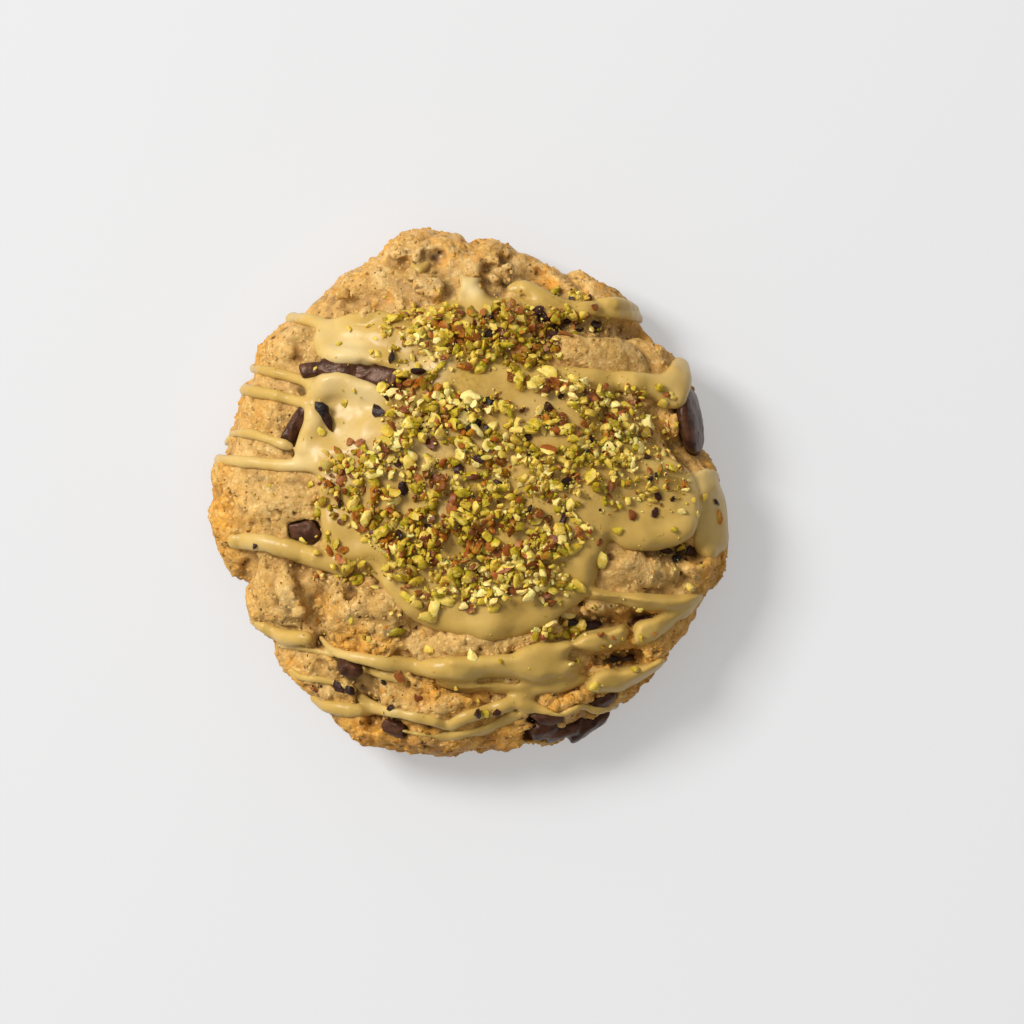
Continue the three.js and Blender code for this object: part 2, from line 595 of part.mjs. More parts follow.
function nutsIn(fields, heightAt, taken) {
  const nuts = [];
  for (const field of fields) {
    const [centreX, centreY] = place(field.at);
    let left = field.count;
    for (let tries = 0; tries < field.count * NUT_TRIES && left > 0; tries++) {
      const angle = draw(0, 2 * Math.PI);
      const share = Math.sqrt(draw());
      const x = centreX + field.spread[0] * share * Math.cos(angle);
      const y = centreY + field.spread[1] * share * Math.sin(angle);
      const z = heightAt(x, y);
      if (z === null || taken.some((spot) => Math.hypot(spot[0] - x, spot[1] - y) < NUT_SPACING)) continue;
      taken.push([x, y]);
      nuts.push(nut(x, y, z, draw(field.least, field.most)));
      left--;
    }
  }
  return nuts;
}

// ---------------------------------------------------------------- assembly

const finishes = {
  dough: new THREE.MeshStandardMaterial({ color: 0xc79a5c, roughness: 0.85, metalness: 0 }),
  cream: new THREE.MeshStandardMaterial({ color: 0xb99a56, roughness: 0.35, metalness: 0 }),
  chocolate: new THREE.MeshStandardMaterial({ color: 0x3c2624, roughness: 0.4, metalness: 0 }),
};

const join = (solids) => solids.reduce((whole, solid) => whole.add(solid));

// Is this place well inside the pool's outline? The distance to its edge is given in mm.
const poolPath = new THREE.CatmullRomCurve3(
  POOL_OUTLINE.map((pixel) => new THREE.Vector3(...place(pixel), 0)), true, 'catmullrom', 0.5,
).getSpacedPoints(200);

function insidePool(x, y) {
  let crossings = 0;
  let nearest = Infinity;
  for (let i = 1; i < poolPath.length; i++) {
    const [a, b] = [poolPath[i - 1], poolPath[i]];
    nearest = Math.min(nearest, Math.hypot(a.x - x, a.y - y));
    if ((a.y > y) !== (b.y > y) && x < a.x + (b.x - a.x) * (y - a.y) / (b.y - a.y)) crossings++;
  }
  return crossings % 2 ? nearest : -nearest;
}

const pool = poolBlank();
const poolFacetTop = topFinder(pool);
const bodySkin = doughBody(GAP);
const pockets = join(CHOCOLATE.map((piece) => chocolate(piece, GAP)));
const drizzleRoom = join(DRIZZLES.map((strand) => bead(strand, GAP)));
const spots = [];
const poolNuts = nutsIn(POOL_NUTS, (x, y) => {
  return insidePool(x, y) > POOL_EDGE ? poolFacetTop(x, y).z : null;
}, spots);
const doughNuts = nutsIn(DOUGH_NUTS, (x, y) => {
  return insidePool(x, y) < -POOL_CLEAR ? bodyFacetTop(x, y).z : null;
}, spots);

const cream = join([pool, ...ARMS.map((strand) => bead(strand)), ...poolNuts])
  .subtract(bodySkin)
  .subtract(pockets)
  .subtract(drizzleRoom);
const dough = join([body, ...DRIZZLES.map((strand) => bead(strand)), ...doughNuts])
  .subtract(pockets);

const cookie = new THREE.Group();
cookie.name = 'pistachio_cookie';
cookie.add(meshOf('cookie_dough', largestPiece(dough), finishes.dough));
cookie.add(meshOf('pistachio_cream', largestPiece(cream), finishes.cream));
for (const piece of CHOCOLATE) {
  cookie.add(meshOf(piece.name, chocolate(piece, 0), finishes.chocolate));
}

// The origin is the middle of the whole cookie's box, on the surface it stands on.
const box = new THREE.Box3().setFromObject(cookie);
const middle = box.getCenter(new THREE.Vector3());
cookie.position.set(-middle.x, -middle.y, -box.min.z);

export default cookie;
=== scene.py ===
"""Looks of a pistachio cookie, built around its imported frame.

The dough and the cream are signed-distance fields on a grid, made of named lumps, crevices,
sheets and strands like those of the CAD source, and turned into meshes with far finer relief.
Shapes are worked out in millimetres and become metres when a mesh is made. +Z is up.
"""
import math

import bmesh
import bpy
import numpy as np
from mathutils import Euler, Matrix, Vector


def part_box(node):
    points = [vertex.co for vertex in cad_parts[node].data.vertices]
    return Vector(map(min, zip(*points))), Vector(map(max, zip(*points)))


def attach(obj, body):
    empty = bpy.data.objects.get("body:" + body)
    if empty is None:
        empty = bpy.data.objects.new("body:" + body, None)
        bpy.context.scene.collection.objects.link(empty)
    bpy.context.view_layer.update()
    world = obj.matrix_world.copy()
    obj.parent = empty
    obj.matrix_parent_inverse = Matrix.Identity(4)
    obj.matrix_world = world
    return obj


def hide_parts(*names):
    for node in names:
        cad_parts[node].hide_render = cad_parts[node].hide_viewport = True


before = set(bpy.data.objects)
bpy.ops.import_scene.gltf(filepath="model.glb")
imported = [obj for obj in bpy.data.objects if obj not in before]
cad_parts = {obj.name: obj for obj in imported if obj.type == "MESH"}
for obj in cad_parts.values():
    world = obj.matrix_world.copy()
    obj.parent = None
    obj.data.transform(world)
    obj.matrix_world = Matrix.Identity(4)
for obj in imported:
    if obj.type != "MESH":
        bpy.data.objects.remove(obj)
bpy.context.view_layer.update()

# ---------------------------------------------------------------- driving dimensions, in mm

MM = 0.001                  # a millimetre in metres
OUTLINE_RADIUS = 46.3
WIDEST_HEIGHT = 8.5
CROWN_HEIGHT = 26.5
DOME_POWER = 2.25           # 2 is an ellipsoid, and more has fuller shoulders
BASE_TUCK = 0.075           # share of the radius by which the side draws in at the base
TUCK_POWER = 2
CREASE = 0.9                # how softly the lumps run into each other
GROOVE_BLEND = 1.1          # how softly a crevice opens
GROOVE_MARGIN = 0.5         # how far beyond its blend a crevice is worked out

# Bumps and dents of the outline: direction and spread in degrees, rise in mm.
OUTLINE_LOBES = [
    (247, 17, 2.7), (298, 15, 1.9), (347, 10, 1.9), (101, 8, 2.9), (187, 9, 1.3),
    (14, 9, -3.9), (40, 6, -3.4), (70, 8, -2.6), (130, 6, -1.5), (163, 11, -0.7), (204, 5, -0.8),
]
# Corrections of the outline in the looks alone. Most are dents, where the crust's own relief would
# stand too far out.
OUTLINE_TRIMS = [
    (10, 6, -1.3), (54, 9, -1.3), (72, 6, -0.7), (90, 6, -1.0), (130, 5, -1.1), (151, 5, -0.8),
    (171, 5, -0.2), (201, 6, -1.7), (216, 8, -0.9), (300, 6, -0.8), (331, 6, 0.6), (264, 8, 0.4),
    (80, 4, -1.0), (50, 4, -0.5), (303, 7, -0.9), (240, 6, -0.3), (280, 6, -0.3), (120, 4, 0.4),
    (190, 5, 0.5),
]

# The photograph looks straight down. These give the place under a pixel of its 1024 x 1024 frame.
PHOTO_SIZE = 1024
PHOTO_CENTRE = (470, 492)
MM_PER_PIXEL = 0.1825

# Lumps of dough: pixel, half length, half width, turn in degrees, rise.
LUMPS = [
    ((600, 352), 10.5, 5.6, -12, 3.0), ((650, 352), 6, 4.5, -50, 1.8),
    ((430, 250), 8, 5, 10, 2.0), ((482, 262), 8, 6, -15, 2.3), ((372, 283), 7, 5, 35, 1.6),
    ((548, 282), 6.5, 4, -20, 1.6), ((606, 297), 5, 3.5, -35, 1.9), ((425, 292), 3.4, 3, 0, 2.0),
    ((372, 312), 4.5, 2.4, 0, 1.6), ((284, 350), 5, 4.2, 50, 2.0), ((268, 420), 4.6, 4, 80, 1.6),
    ((272, 503), 9, 5.5, 5, 1.8), ((226, 515), 6, 4.5, 90, 1.8), ((277, 590), 8, 6.5, -35, 2.6),
    ((368, 604), 9.5, 6.8, -8, 2.8), ((470, 644), 9, 3.6, 0, 2.2), ((300, 668), 5, 3.6, -35, 1.6),
    ((440, 700), 12, 5.5, -3, 2.3), ((408, 738), 6.5, 4.5, -15, 1.9), ((500, 738), 7.5, 4.5, 5, 1.6),
    ((577, 697), 4.6, 3.2, 25, 2.0), ((640, 568), 9, 4.6, -10, 2.3), ((702, 566), 4.4, 4, 30, 1.9),
    ((668, 432), 4.6, 4.8, 0, 1.5), ((706, 462), 3.6, 3.4, 0, 1.6), ((655, 648), 5.2, 3.8, 30, 1.9),
    ((610, 618), 3.4, 2.4, 0, 1.5),
]
# More lumps of crust in the looks alone.
SMALL_LUMPS = [
    ((676, 420), 4.2, 2.6, 80, 2.6), ((672, 442), 3.4, 2.6, 60, 2.2), ((400, 300), 3.2, 2.2, 10, 1.4),
    ((372, 278), 3.6, 2.4, 30, 1.5), ((395, 255), 3.6, 2.6, 20, 1.3), ((455, 245), 3.6, 2.6, 0, 1.3),
    ((415, 275), 3.0, 2.4, 0, 1.6), ((438, 288), 2.6, 2.0, 60, 1.8), ((470, 262), 3.6, 2.4, 10, 1.5),
    ((510, 252), 4.0, 2.4, -15, 1.3), ((528, 288), 3.4, 2.2, -20, 1.4), ((350, 298), 3.0, 2.2, 10, 1.3),
    ((560, 285), 3.4, 2.2, -30, 1.3), ((320, 310), 3.4, 2.4, 40, 1.2), ((300, 590), 4.4, 3.2, -35, 1.8),
    ((262, 585), 3.6, 3.0, 40, 1.7), ((350, 620), 4.2, 2.8, -20, 1.6), ((388, 612), 4.0, 3.0, 10, 1.5),
    ((375, 640), 3.2, 2.0, -10, 1.3), ((470, 700), 4.0, 2.6, 0, 1.3), ((405, 700), 3.4, 2.4, 20, 1.4),
    ((350, 722), 3.4, 2.4, -40, 1.4), ((385, 742), 3.4, 2.4, -10, 1.4), ((430, 742), 3.6, 2.2, 0, 1.3),
    ((470, 742), 3.6, 2.2, 0, 1.3), ((640, 640), 3.2, 2.2, 20, 1.5), ((690, 585), 3.2, 2.4, 30, 1.3),
    ((663, 572), 3.0, 2.4, 0, 1.5), ((690, 570), 2.4, 2.2, 0, 1.8), ((255, 400), 3.4, 2.4, 60, 1.3),
    ((278, 400), 2.6, 2.0, 60, 1.2), ((262, 440), 3.0, 2.2, 80, 1.2), ((243, 490), 3.4, 2.4, 90, 1.2),
    ((300, 500), 3.4, 2.6, 0, 1.1), ((262, 350), 3.4, 2.4, 50, 1.2), ((300, 660), 3.0, 2.0, -30, 1.2),
    ((592, 610), 3.2, 1.9, 0, 1.3), ((654, 648), 2.6, 2.0, 20, 1.8), ((428, 290), 1.7, 1.5, 0, 1.6),
    ((478, 258), 2.2, 1.8, 0, 1.2), ((376, 300), 2.2, 1.6, 0, 1.3), ((390, 312), 2.0, 1.4, 0, 1.2),
]
# Round lumps all over the side and the top, drawn at random: how many, where, half size and rise.
SEED = 417
SIDE_NODULES = dict(count=80, low=2, high=17, least=3.2, most=6.2, rise_least=0.5, rise_most=1.7)
TOP_NODULES = dict(count=96, inner=0.4, outer=0.93, least=2.0, most=4.6, rise_least=0.3, rise_most=1.3)
NODULE_SQUASH = 0.75        # a lump's half thickness as a share of its smaller half size
GOLDEN_ANGLE = 137.508      # degrees from each lump to the next
ANGLE_SCATTER = 9           # degrees by which a lump may stand off that

# Crevices: route in pixels, radius and depth.
GROOVES = [
    ([(300, 566), (309, 590), (318, 615), (322, 642), (345, 662), (364, 676), (366, 705), (372, 722)],
     1.6, 3.0),
    ([(345, 566), (351, 584), (352, 596)], 0.8, 2.0),
    ([(560, 640), (590, 630), (618, 630), (640, 622)], 1.2, 3.0),
    ([(655, 548), (676, 551), (698, 553)], 1.2, 2.6),
    ([(545, 325), (568, 322), (606, 325), (645, 333)], 1.2, 2.4),
    ([(400, 284), (420, 306), (452, 309)], 0.8, 1.6),
    ([(488, 268), (512, 280), (540, 272)], 0.8, 1.6),
    ([(568, 621), (588, 622), (612, 620)], 1.0, 3.8),
    ([(600, 661), (618, 661), (636, 656)], 1.2, 3.6),
    ([(632, 617), (650, 619)], 1.0, 3.2),
    ([(236, 545), (252, 560), (240, 585)], 0.9, 1.6),
    ([(262, 650), (300, 652), (330, 665)], 1.1, 2.0),
    ([(318, 600), (322, 640), (346, 664), (366, 700)], 1.0, 3.6),
    ([(400, 655), (440, 684), (490, 694), (530, 698)], 0.9, 1.8),
    ([(556, 700), (574, 680), (596, 668)], 0.8, 1.8),
    ([(484, 282), (496, 297), (508, 284)], 0.8, 2.4),
    ([(426, 259), (434, 258), (440, 256)], 0.5, 0.9),
    ([(330, 300), (352, 304), (392, 306)], 0.7, 1.6),
    ([(440, 268), (452, 286), (450, 304)], 0.6, 1.4),
    ([(392, 262), (420, 268), (440, 262)], 0.6, 0.9),
    ([(505, 262), (530, 270), (566, 296)], 0.7, 1.6),
    ([(300, 352), (296, 372), (300, 392)], 0.7, 1.2),
    ([(655, 415), (672, 445), (690, 466)], 0.8, 1.6),
    ([(330, 570), (352, 576), (380, 582)], 0.8, 1.8),
]
# Hollows between ledges of the side: pixel, half length, half width, turn, depth.
DENTS = [
    ((285, 650), 8, 3.2, -38, 1.9), ((338, 684), 6, 4.2, -50, 2.2), ((315, 712), 7, 2.6, -40, 1.2),
    ((400, 690), 6, 2.6, -10, 1.3), ((604, 658), 6, 2.0, 10, 1.6),
    ((680, 552), 4.5, 2.4, 0, 1.2), ((372, 300), 6, 1.8, -5, 1.0), ((562, 324), 7, 2.2, 0, 1.4),
    ((306, 540), 4, 3, 0, 1.0), ((250, 440), 3, 2, 30, 0.7), ((540, 700), 7, 2, 20, 1.0),
]

# The generator of the seeded draws, as in the CAD source.
LCG_FACTOR = 1664525
LCG_ADD = 1013904223
LCG_RANGE = 2 ** 32

# Limits that keep roots and divisions away from zero.
TINY = 1e-9
LEAST_SLOPE = 1e-6

# Powers of round bodies: 2 is an ellipsoid, and more is nearer to a box.
ELLIPSOID = 2
DISC_ROUNDNESS = 2.4
CHOCOLATE_ROUNDNESS = 3.2
BOX_SLOPE = 0.12            # least slope that the distance from such a body is divided by


def draws(seed):
    """The same linear congruential generator as the CAD source uses."""
    state = [seed % LCG_RANGE]

    def draw(least=0.0, most=1.0):
        state[0] = (state[0] * LCG_FACTOR + LCG_ADD) % LCG_RANGE
        return least + (most - least) * state[0] / LCG_RANGE
    return draw


def place(pixel):
    """The place in mm under a pixel of the photograph."""
    return ((pixel[0] - PHOTO_CENTRE[0]) * MM_PER_PIXEL, (PHOTO_CENTRE[1] - pixel[1]) * MM_PER_PIXEL)


def smooth_union(a, b, blend):
    """The nearer of two bodies, with a fillet where they meet."""
    share = np.maximum(blend - np.abs(a - b), 0) / blend
    return np.minimum(a, b) - share * share * blend / 4


def smooth_cut(a, b, blend):
    """The first body without the second, with a rounded edge."""
    return -smooth_union(-a, b, blend)


# ---------------------------------------------------------------- the dough as a function

CORE_SHARE = 0.2            # nearer the middle than this, the distance is taken straight up
OUTERMOST = 0.999           # beyond this share of the radius the dome's top stays level
NORMAL_STEP = 0.05


def outline_radius(angle):
    """The radius in each direction, seen from above."""
    radius = np.full(np.shape(angle), OUTLINE_RADIUS, dtype=float)
    for direction, width, rise in OUTLINE_LOBES + OUTLINE_TRIMS:
        turn = (np.degrees(angle) - direction + 540) % 360 - 180
        radius = radius + rise * np.exp(-((turn / width) ** 2))
    return radius


def body_distance(x, y, z):
    """About how far each point is outside the body: a dome above, a side that tucks in below."""
    radius = np.hypot(x, y)
    rim = outline_radius(np.arctan2(y, x))
    low = (WIDEST_HEIGHT - z) / WIDEST_HEIGHT
    below = radius - rim * (1 - BASE_TUCK * np.abs(low) ** TUCK_POWER)
    height = CROWN_HEIGHT - WIDEST_HEIGHT
    u = radius / rim
    v = np.maximum(z - WIDEST_HEIGHT, 0) / height
    k = np.maximum(u ** DOME_POWER + v ** DOME_POWER, TINY) ** (1 / DOME_POWER)
    slope = np.hypot(u ** (DOME_POWER - 1) / rim, v ** (DOME_POWER - 1) / height)
    above = (k - 1) / np.maximum(slope * k ** (1 - DOME_POWER), LEAST_SLOPE)
    above = np.where(k < CORE_SHARE, (k - 1) * height, above)
    return np.where(z <= WIDEST_HEIGHT, below, above)


def body_top(x, y):
    """Height of the dome above each place."""
    u = np.minimum(np.hypot(x, y) / outline_radius(np.arctan2(y, x)), OUTERMOST)
    rise = (1 - u ** DOME_POWER) ** (1 / DOME_POWER)
    return WIDEST_HEIGHT + (CROWN_HEIGHT - WIDEST_HEIGHT) * rise


def body_normals(x, y, z, h=NORMAL_STEP):
    """The directions straight out of the body."""
    n = np.stack([
        body_distance(x + h, y, z) - body_distance(x - h, y, z),
        body_distance(x, y + h, z) - body_distance(x, y - h, z),
        body_distance(x, y, z + h) - body_distance(x, y, z - h),
    ], axis=-1)
    return n / np.linalg.norm(n, axis=-1, keepdims=True)


def axes_at(x, y, z, turn):
    """Axes of something that lies on the body: along, across and out of it."""
    out = Vector(body_normals(x, y, z))
    along = Vector((math.cos(math.radians(turn)), math.sin(math.radians(turn)), 0))
    along = (along - out * along.dot(out)).normalized()
    return along, out.cross(along), out


def lump_at(x, y, z, length, width, turn, rise):
    """A flattened ball of dough that stands out of the body by its rise: middle, axes, half sizes."""
    axes = axes_at(x, y, z, turn)
    depth = min(length, width) * NODULE_SQUASH
    centre = Vector((x, y, z)) + axes[2] * (rise - depth)
    return centre, axes, (length, width, depth)


def side_point(angle, z):
    """The place on the body's side in a direction and at a height."""
    rim = float(outline_radius(angle))
    radius = rim * (1 - BASE_TUCK * ((WIDEST_HEIGHT - z) / WIDEST_HEIGHT) ** TUCK_POWER)
    if z > WIDEST_HEIGHT:
        v = (z - WIDEST_HEIGHT) / (CROWN_HEIGHT - WIDEST_HEIGHT)
        radius = rim * (1 - v ** DOME_POWER) ** (1 / DOME_POWER)
    return radius * math.cos(angle), radius * math.sin(angle), z


def all_lumps():
    """Every lump of the dough, the ones with places of their own first."""
    draw = draws(SEED)
    found = []
    for pixel, length, width, turn, rise in LUMPS + SMALL_LUMPS:
        x, y = place(pixel)
        found.append(lump_at(x, y, float(body_top(x, y)), length, width, turn, rise))
    n = SIDE_NODULES
    for i in range(n["count"]):
        angle = math.radians(i * GOLDEN_ANGLE + draw(-ANGLE_SCATTER, ANGLE_SCATTER))
        point = side_point(angle, draw(n["low"], n["high"]))
        size = draw(n["least"], n["most"]), draw(n["least"], n["most"])
        turn = draw(0, 180)
        found.append(lump_at(*point, *size, turn, draw(n["rise_least"], n["rise_most"])))
    n = TOP_NODULES
    for i in range(n["count"]):
        angle = math.radians(i * GOLDEN_ANGLE + draw(-ANGLE_SCATTER, ANGLE_SCATTER))
        radius = float(outline_radius(angle)) * math.sqrt(draw(n["inner"] ** 2, n["outer"] ** 2))
        x, y = radius * math.cos(angle), radius * math.sin(angle)
        size = draw(n["least"], n["most"]), draw(n["least"], n["most"])
        rise = draw(n["rise_least"], n["rise_most"])
        found.append(lump_at(x, y, float(body_top(x, y)), *size, draw(0, 180), rise))
    return found


# ---------------------------------------------------------------- noise

TABLE = 256                 # rows of random values that a pattern draws from
NOISE_GAIN = 1.5
HILL_GAIN = 1.6
FAR = 9.0                   # farther off than anything that counts
CORNERS = [(a, b, c) for a in (0, 1) for b in (0, 1) for c in (0, 1)]
NEIGHBOURS = [(a, b, c) for a in (-1, 0, 1) for b in (-1, 0, 1) for c in (-1, 0, 1)]


class Lattice:
    """Whole-numbered points in space, each with a seeded row of random values of its own."""

    def __init__(self, seed):
        self.rng = np.random.default_rng(seed)
        self.order = np.tile(self.rng.permutation(TABLE), 2)

    def rows(self, table, points):
        """The row of the table that belongs to each point."""
        x, y, z = (points & (TABLE - 1)).T
        return table[self.order[self.order[self.order[x] + y] + z]]


class Noise(Lattice):
    """Seeded gradient noise in three dimensions, for arrays of points."""

    def __init__(self, seed):
        super().__init__(seed)
        gradients = self.rng.normal(size=(TABLE, 3))
        self.gradients = (gradients / np.linalg.norm(gradients, axis=1)[:, None]).astype(np.float32)

    def __call__(self, points, size):
        p = np.asarray(points, dtype=np.float32) / np.float32(size)
        cell = np.floor(p)
        f = p - cell
        cell = cell.astype(np.int64)
        ease = f * f * f * (f * (f * 6 - 15) + 10)
        total = np.zeros(len(p), dtype=np.float32)
        for corner in CORNERS:
            gradient = self.rows(self.gradients, cell + corner)
            dot = (gradient * (f - np.array(corner, dtype=np.float32))).sum(1)
            w = np.ones(len(p), dtype=np.float32)
            for axis, step in enumerate(corner):
                w = w * (ease[:, axis] if step else 1 - ease[:, axis])
            total += w * dot
        return total * NOISE_GAIN


class Pebbles(Lattice):
    """Cell noise: how near each point is to the middle of its own pebble, 1 there to 0 between."""

    def __init__(self, seed):
        super().__init__(seed)
        self.middles = self.rng.uniform(0, 1, (TABLE, 3)).astype(np.float32)

    def __call__(self, points, size):
        p = np.asarray(points, dtype=np.float32) / np.float32(size)
        cell = np.floor(p).astype(np.int64)
        nearest = np.full(len(p), FAR, dtype=np.float32)
        for step in NEIGHBOURS:
            near = cell + step
            gap = near + self.rows(self.middles, near) - p
            nearest = np.minimum(nearest, (gap * gap).sum(1))
        return 1 - np.minimum(nearest, 1)


class Hills:
    """Round hills with sharp valleys between them, about 0 to 1."""

    def __init__(self, noise):
        self.noise = noise

    def __call__(self, points, size):
        return np.abs(self.noise(points, size)) * HILL_GAIN


NOISE = Noise(seed=11)
NOISE_B = Noise(seed=29)
PEBBLES = Pebbles(seed=5)
HILLS = Hills(NOISE)
HILLS_B = Hills(NOISE_B)


def layer(form, points, pattern):
    """One layer of a pattern. The form is its height and the size of its features in mm."""
    height, size = form
    return height * pattern(points, size)


# ---------------------------------------------------------------- grids and meshes

LAST_CELL = 1.001           # keeps the next grid point inside the array


class Grid:
    """Evenly spaced points in a box, in mm."""

    def __init__(self, low, high, step):
        self.low = np.array(low, dtype=float)
        self.step = step
        self.shape = tuple(int(math.ceil((b - a) / step)) + 1 for a, b in zip(low, high))
        self.axes = [self.low[i] + step * np.arange(self.shape[i]) for i in range(3)]

    def window(self, low, high):
        """The part of the grid between two corners, and its coordinates."""
        first = [max(int((low[i] - self.low[i]) / self.step), 0) for i in range(3)]
        last = [min(int((high[i] - self.low[i]) / self.step) + 2, self.shape[i]) for i in range(3)]
        part = tuple(slice(a, b) for a, b in zip(first, last))
        x, y, z = (self.axes[i][part[i]] for i in range(3))
        return part, x[:, None, None], y[None, :, None], z[None, None, :]

    def around(self, middle, reach):
        """The part of the grid round a point, and its coordinates."""
        return self.window([c - reach for c in middle], [c + reach for c in middle])

    def points(self, mask):
        index = np.nonzero(mask)
        return np.stack([self.axes[i][index[i]] for i in range(3)], axis=1)



def surface_nets(field, grid):
    """A closed quad mesh of the field's zero surface, one vertex in each cell that it crosses."""
    inside = field < 0
    nx, ny, nz = field.shape
    count = np.zeros((nx - 1, ny - 1, nz - 1), dtype=np.int8)
    for a, b, c in CORNERS:
        count += inside[a:nx - 1 + a, b:ny - 1 + b, c:nz - 1 + c]
    mixed = (count > 0) & (count < len(CORNERS))
    cells = np.stack(np.nonzero(mixed), axis=1)
    number = np.full(mixed.shape, -1, dtype=np.int64)
    number[tuple(cells.T)] = np.arange(len(cells))
    vertices = grid.low + grid.step * (cells + crossing_middles(field, cells))
    return vertices, np.concatenate([crossing_quads(inside, number, axis) for axis in range(3)])


def crossing_middles(field, cells):
    """The middle of the surface's crossings of each cell's edges, from the cell's low corner."""
    total = np.zeros((len(cells), 3))
    hits = np.zeros(len(cells))
    values = {c: field[cells[:, 0] + c[0], cells[:, 1] + c[1], cells[:, 2] + c[2]] for c in CORNERS}
    for axis in range(3):
        for corner in CORNERS:
            if corner[axis]:
                continue
            other = tuple(1 if i == axis else corner[i] for i in range(3))
            a, b = values[corner], values[other]
            cross = (a < 0) != (b < 0)
            share = np.where(cross, a / np.where(cross, a - b, 1), 0)
            spot = np.tile(np.array(corner, dtype=float), (len(cells), 1))
            spot[:, axis] += share
            total += spot * cross[:, None]
            hits += cross
    return total / hits[:, None]


def crossing_quads(inside, number, axis):
    """A quad round each grid edge along one axis that the surface crosses, facing outwards."""
    first = [slice(None)] * 3
    second = [slice(None)] * 3
    first[axis] = slice(0, -1)
    second[axis] = slice(1, None)
    edge = np.stack(np.nonzero(inside[tuple(first)] != inside[tuple(second)]), axis=1)
    u, v = (axis + 1) % 3, (axis + 2) % 3
    edge = edge[(edge[:, u] > 0) & (edge[:, v] > 0)]
    edge = edge[(edge[:, u] < inside.shape[u] - 1) & (edge[:, v] < inside.shape[v] - 1)]
    quad = []
    for du, dv in ((1, 1), (0, 1), (0, 0), (1, 0)):
        cell = edge.copy()
        cell[:, u] -= du
        cell[:, v] -= dv
        quad.append(number[tuple(cell.T)])
    quad = np.stack(quad, axis=1)
    flip = ~inside[tuple(edge.T)]
    quad[flip] = quad[flip][:, ::-1]
    return quad


def quad_edges(quads):
    """Both ends of each side of each quad."""
    return np.concatenate([quads[:, [i, (i + 1) % 4]] for i in range(4)])


def relaxed(vertices, quads, rounds, share=0.5):
    """Each vertex moved towards the middle of its neighbours."""
    edges = quad_edges(quads)
    edges = np.concatenate([edges, edges[:, ::-1]])
    degree = np.bincount(edges[:, 0], minlength=len(vertices))[:, None]
    for _ in range(rounds):
        middle = np.stack([np.bincount(edges[:, 0], weights=vertices[edges[:, 1], i],
                                       minlength=len(vertices)) for i in range(3)], axis=1)
        vertices = vertices + share * (middle / degree - vertices)
    return vertices


def without_scraps(vertices, quads, least):
    """The mesh without loose bodies of fewer vertices than that."""
    label = np.arange(len(vertices))
    edges = quad_edges(quads)
    edges = edges[edges[:, 0] < edges[:, 1]]
    while True:
        low = np.minimum(label[edges[:, 0]], label[edges[:, 1]])
        fresh = label.copy()
        np.minimum.at(fresh, label[edges[:, 0]], low)
        np.minimum.at(fresh, label[edges[:, 1]], low)
        fresh = fresh[fresh[fresh]]
        if np.array_equal(fresh, label):
            break
        label = fresh
    keep = np.bincount(label, minlength=len(vertices))[label] >= least
    number = np.cumsum(keep) - 1
    return vertices[keep], number[quads[keep[quads[:, 0]]]]



def vertex_normals(vertices, quads):
    """The directions straight out of a mesh of quads, at its vertices."""
    a = vertices[quads[:, 2]] - vertices[quads[:, 0]]
    b = vertices[quads[:, 3]] - vertices[quads[:, 1]]
    face = np.cross(a, b)
    normals = np.stack([sum(np.bincount(quads[:, k], weights=face[:, i], minlength=len(vertices))
                            for k in range(4)) for i in range(3)], axis=1)
    return normals / np.maximum(np.linalg.norm(normals, axis=1), TINY)[:, None]


def blurred(field, cells):
    """A box blur along each axis."""
    for axis in range(field.ndim):
        pad = [(0, 0)] * field.ndim
        pad[axis] = (cells + 1, cells)
        run = np.cumsum(np.pad(field, pad, mode="edge"), axis=axis, dtype=np.float64)
        size = 2 * cells + 1
        ahead = [slice(None)] * field.ndim
        back = [slice(None)] * field.ndim
        ahead[axis] = slice(size, None)
        back[axis] = slice(0, -size)
        field = ((run[tuple(ahead)] - run[tuple(back)]) / size).astype(np.float32)
    return field



def sampled(array, grid, points, axes=3):
    """The array's value at each point, between its grid points."""
    points = np.asarray(points)
    cell = (points[:, :axes] - grid.low[:axes]) / grid.step
    cell = np.clip(cell, 0, np.array(array.shape) - LAST_CELL)
    base = cell.astype(int)
    f = cell - base
    total = 0
    for corner in range(2 ** axes):
        steps = [(corner >> i) & 1 for i in range(axes)]
        w = 1
        for i, step in enumerate(steps):
            w = w * (f[:, i] if step else 1 - f[:, i])
        total = total + w * array[tuple(base[:, i] + steps[i] for i in range(axes))]
    return total


def resampled(array, grid, fresh):
    """The same field on another grid."""
    for axis in range(array.ndim):
        cell = np.clip((fresh.axes[axis] - grid.low[axis]) / grid.step, 0, array.shape[axis] - LAST_CELL)
        base = cell.astype(int)
        shape = [1] * array.ndim
        shape[axis] = -1
        f = (cell - base).astype(np.float32).reshape(shape)
        array = np.take(array, base, axis) * (1 - f) + np.take(array, base + 1, axis) * f
    return array


def tops(field, grid):
    """Height of the highest crossing in each column, or the grid's floor where there is none."""
    inside = field < 0
    level = inside.shape[2] - 1 - np.argmax(inside[:, :, ::-1], axis=2)
    level = np.clip(level, 0, inside.shape[2] - 2)
    i, j = np.indices(level.shape)
    a, b = field[i, j, level], field[i, j, level + 1]
    share = np.where((a < 0) & (b >= 0), a / np.where(a == b, 1, a - b), 0)
    height = grid.low[2] + grid.step * (level + share)
    return np.where(inside.any(axis=2), height, grid.low[2])


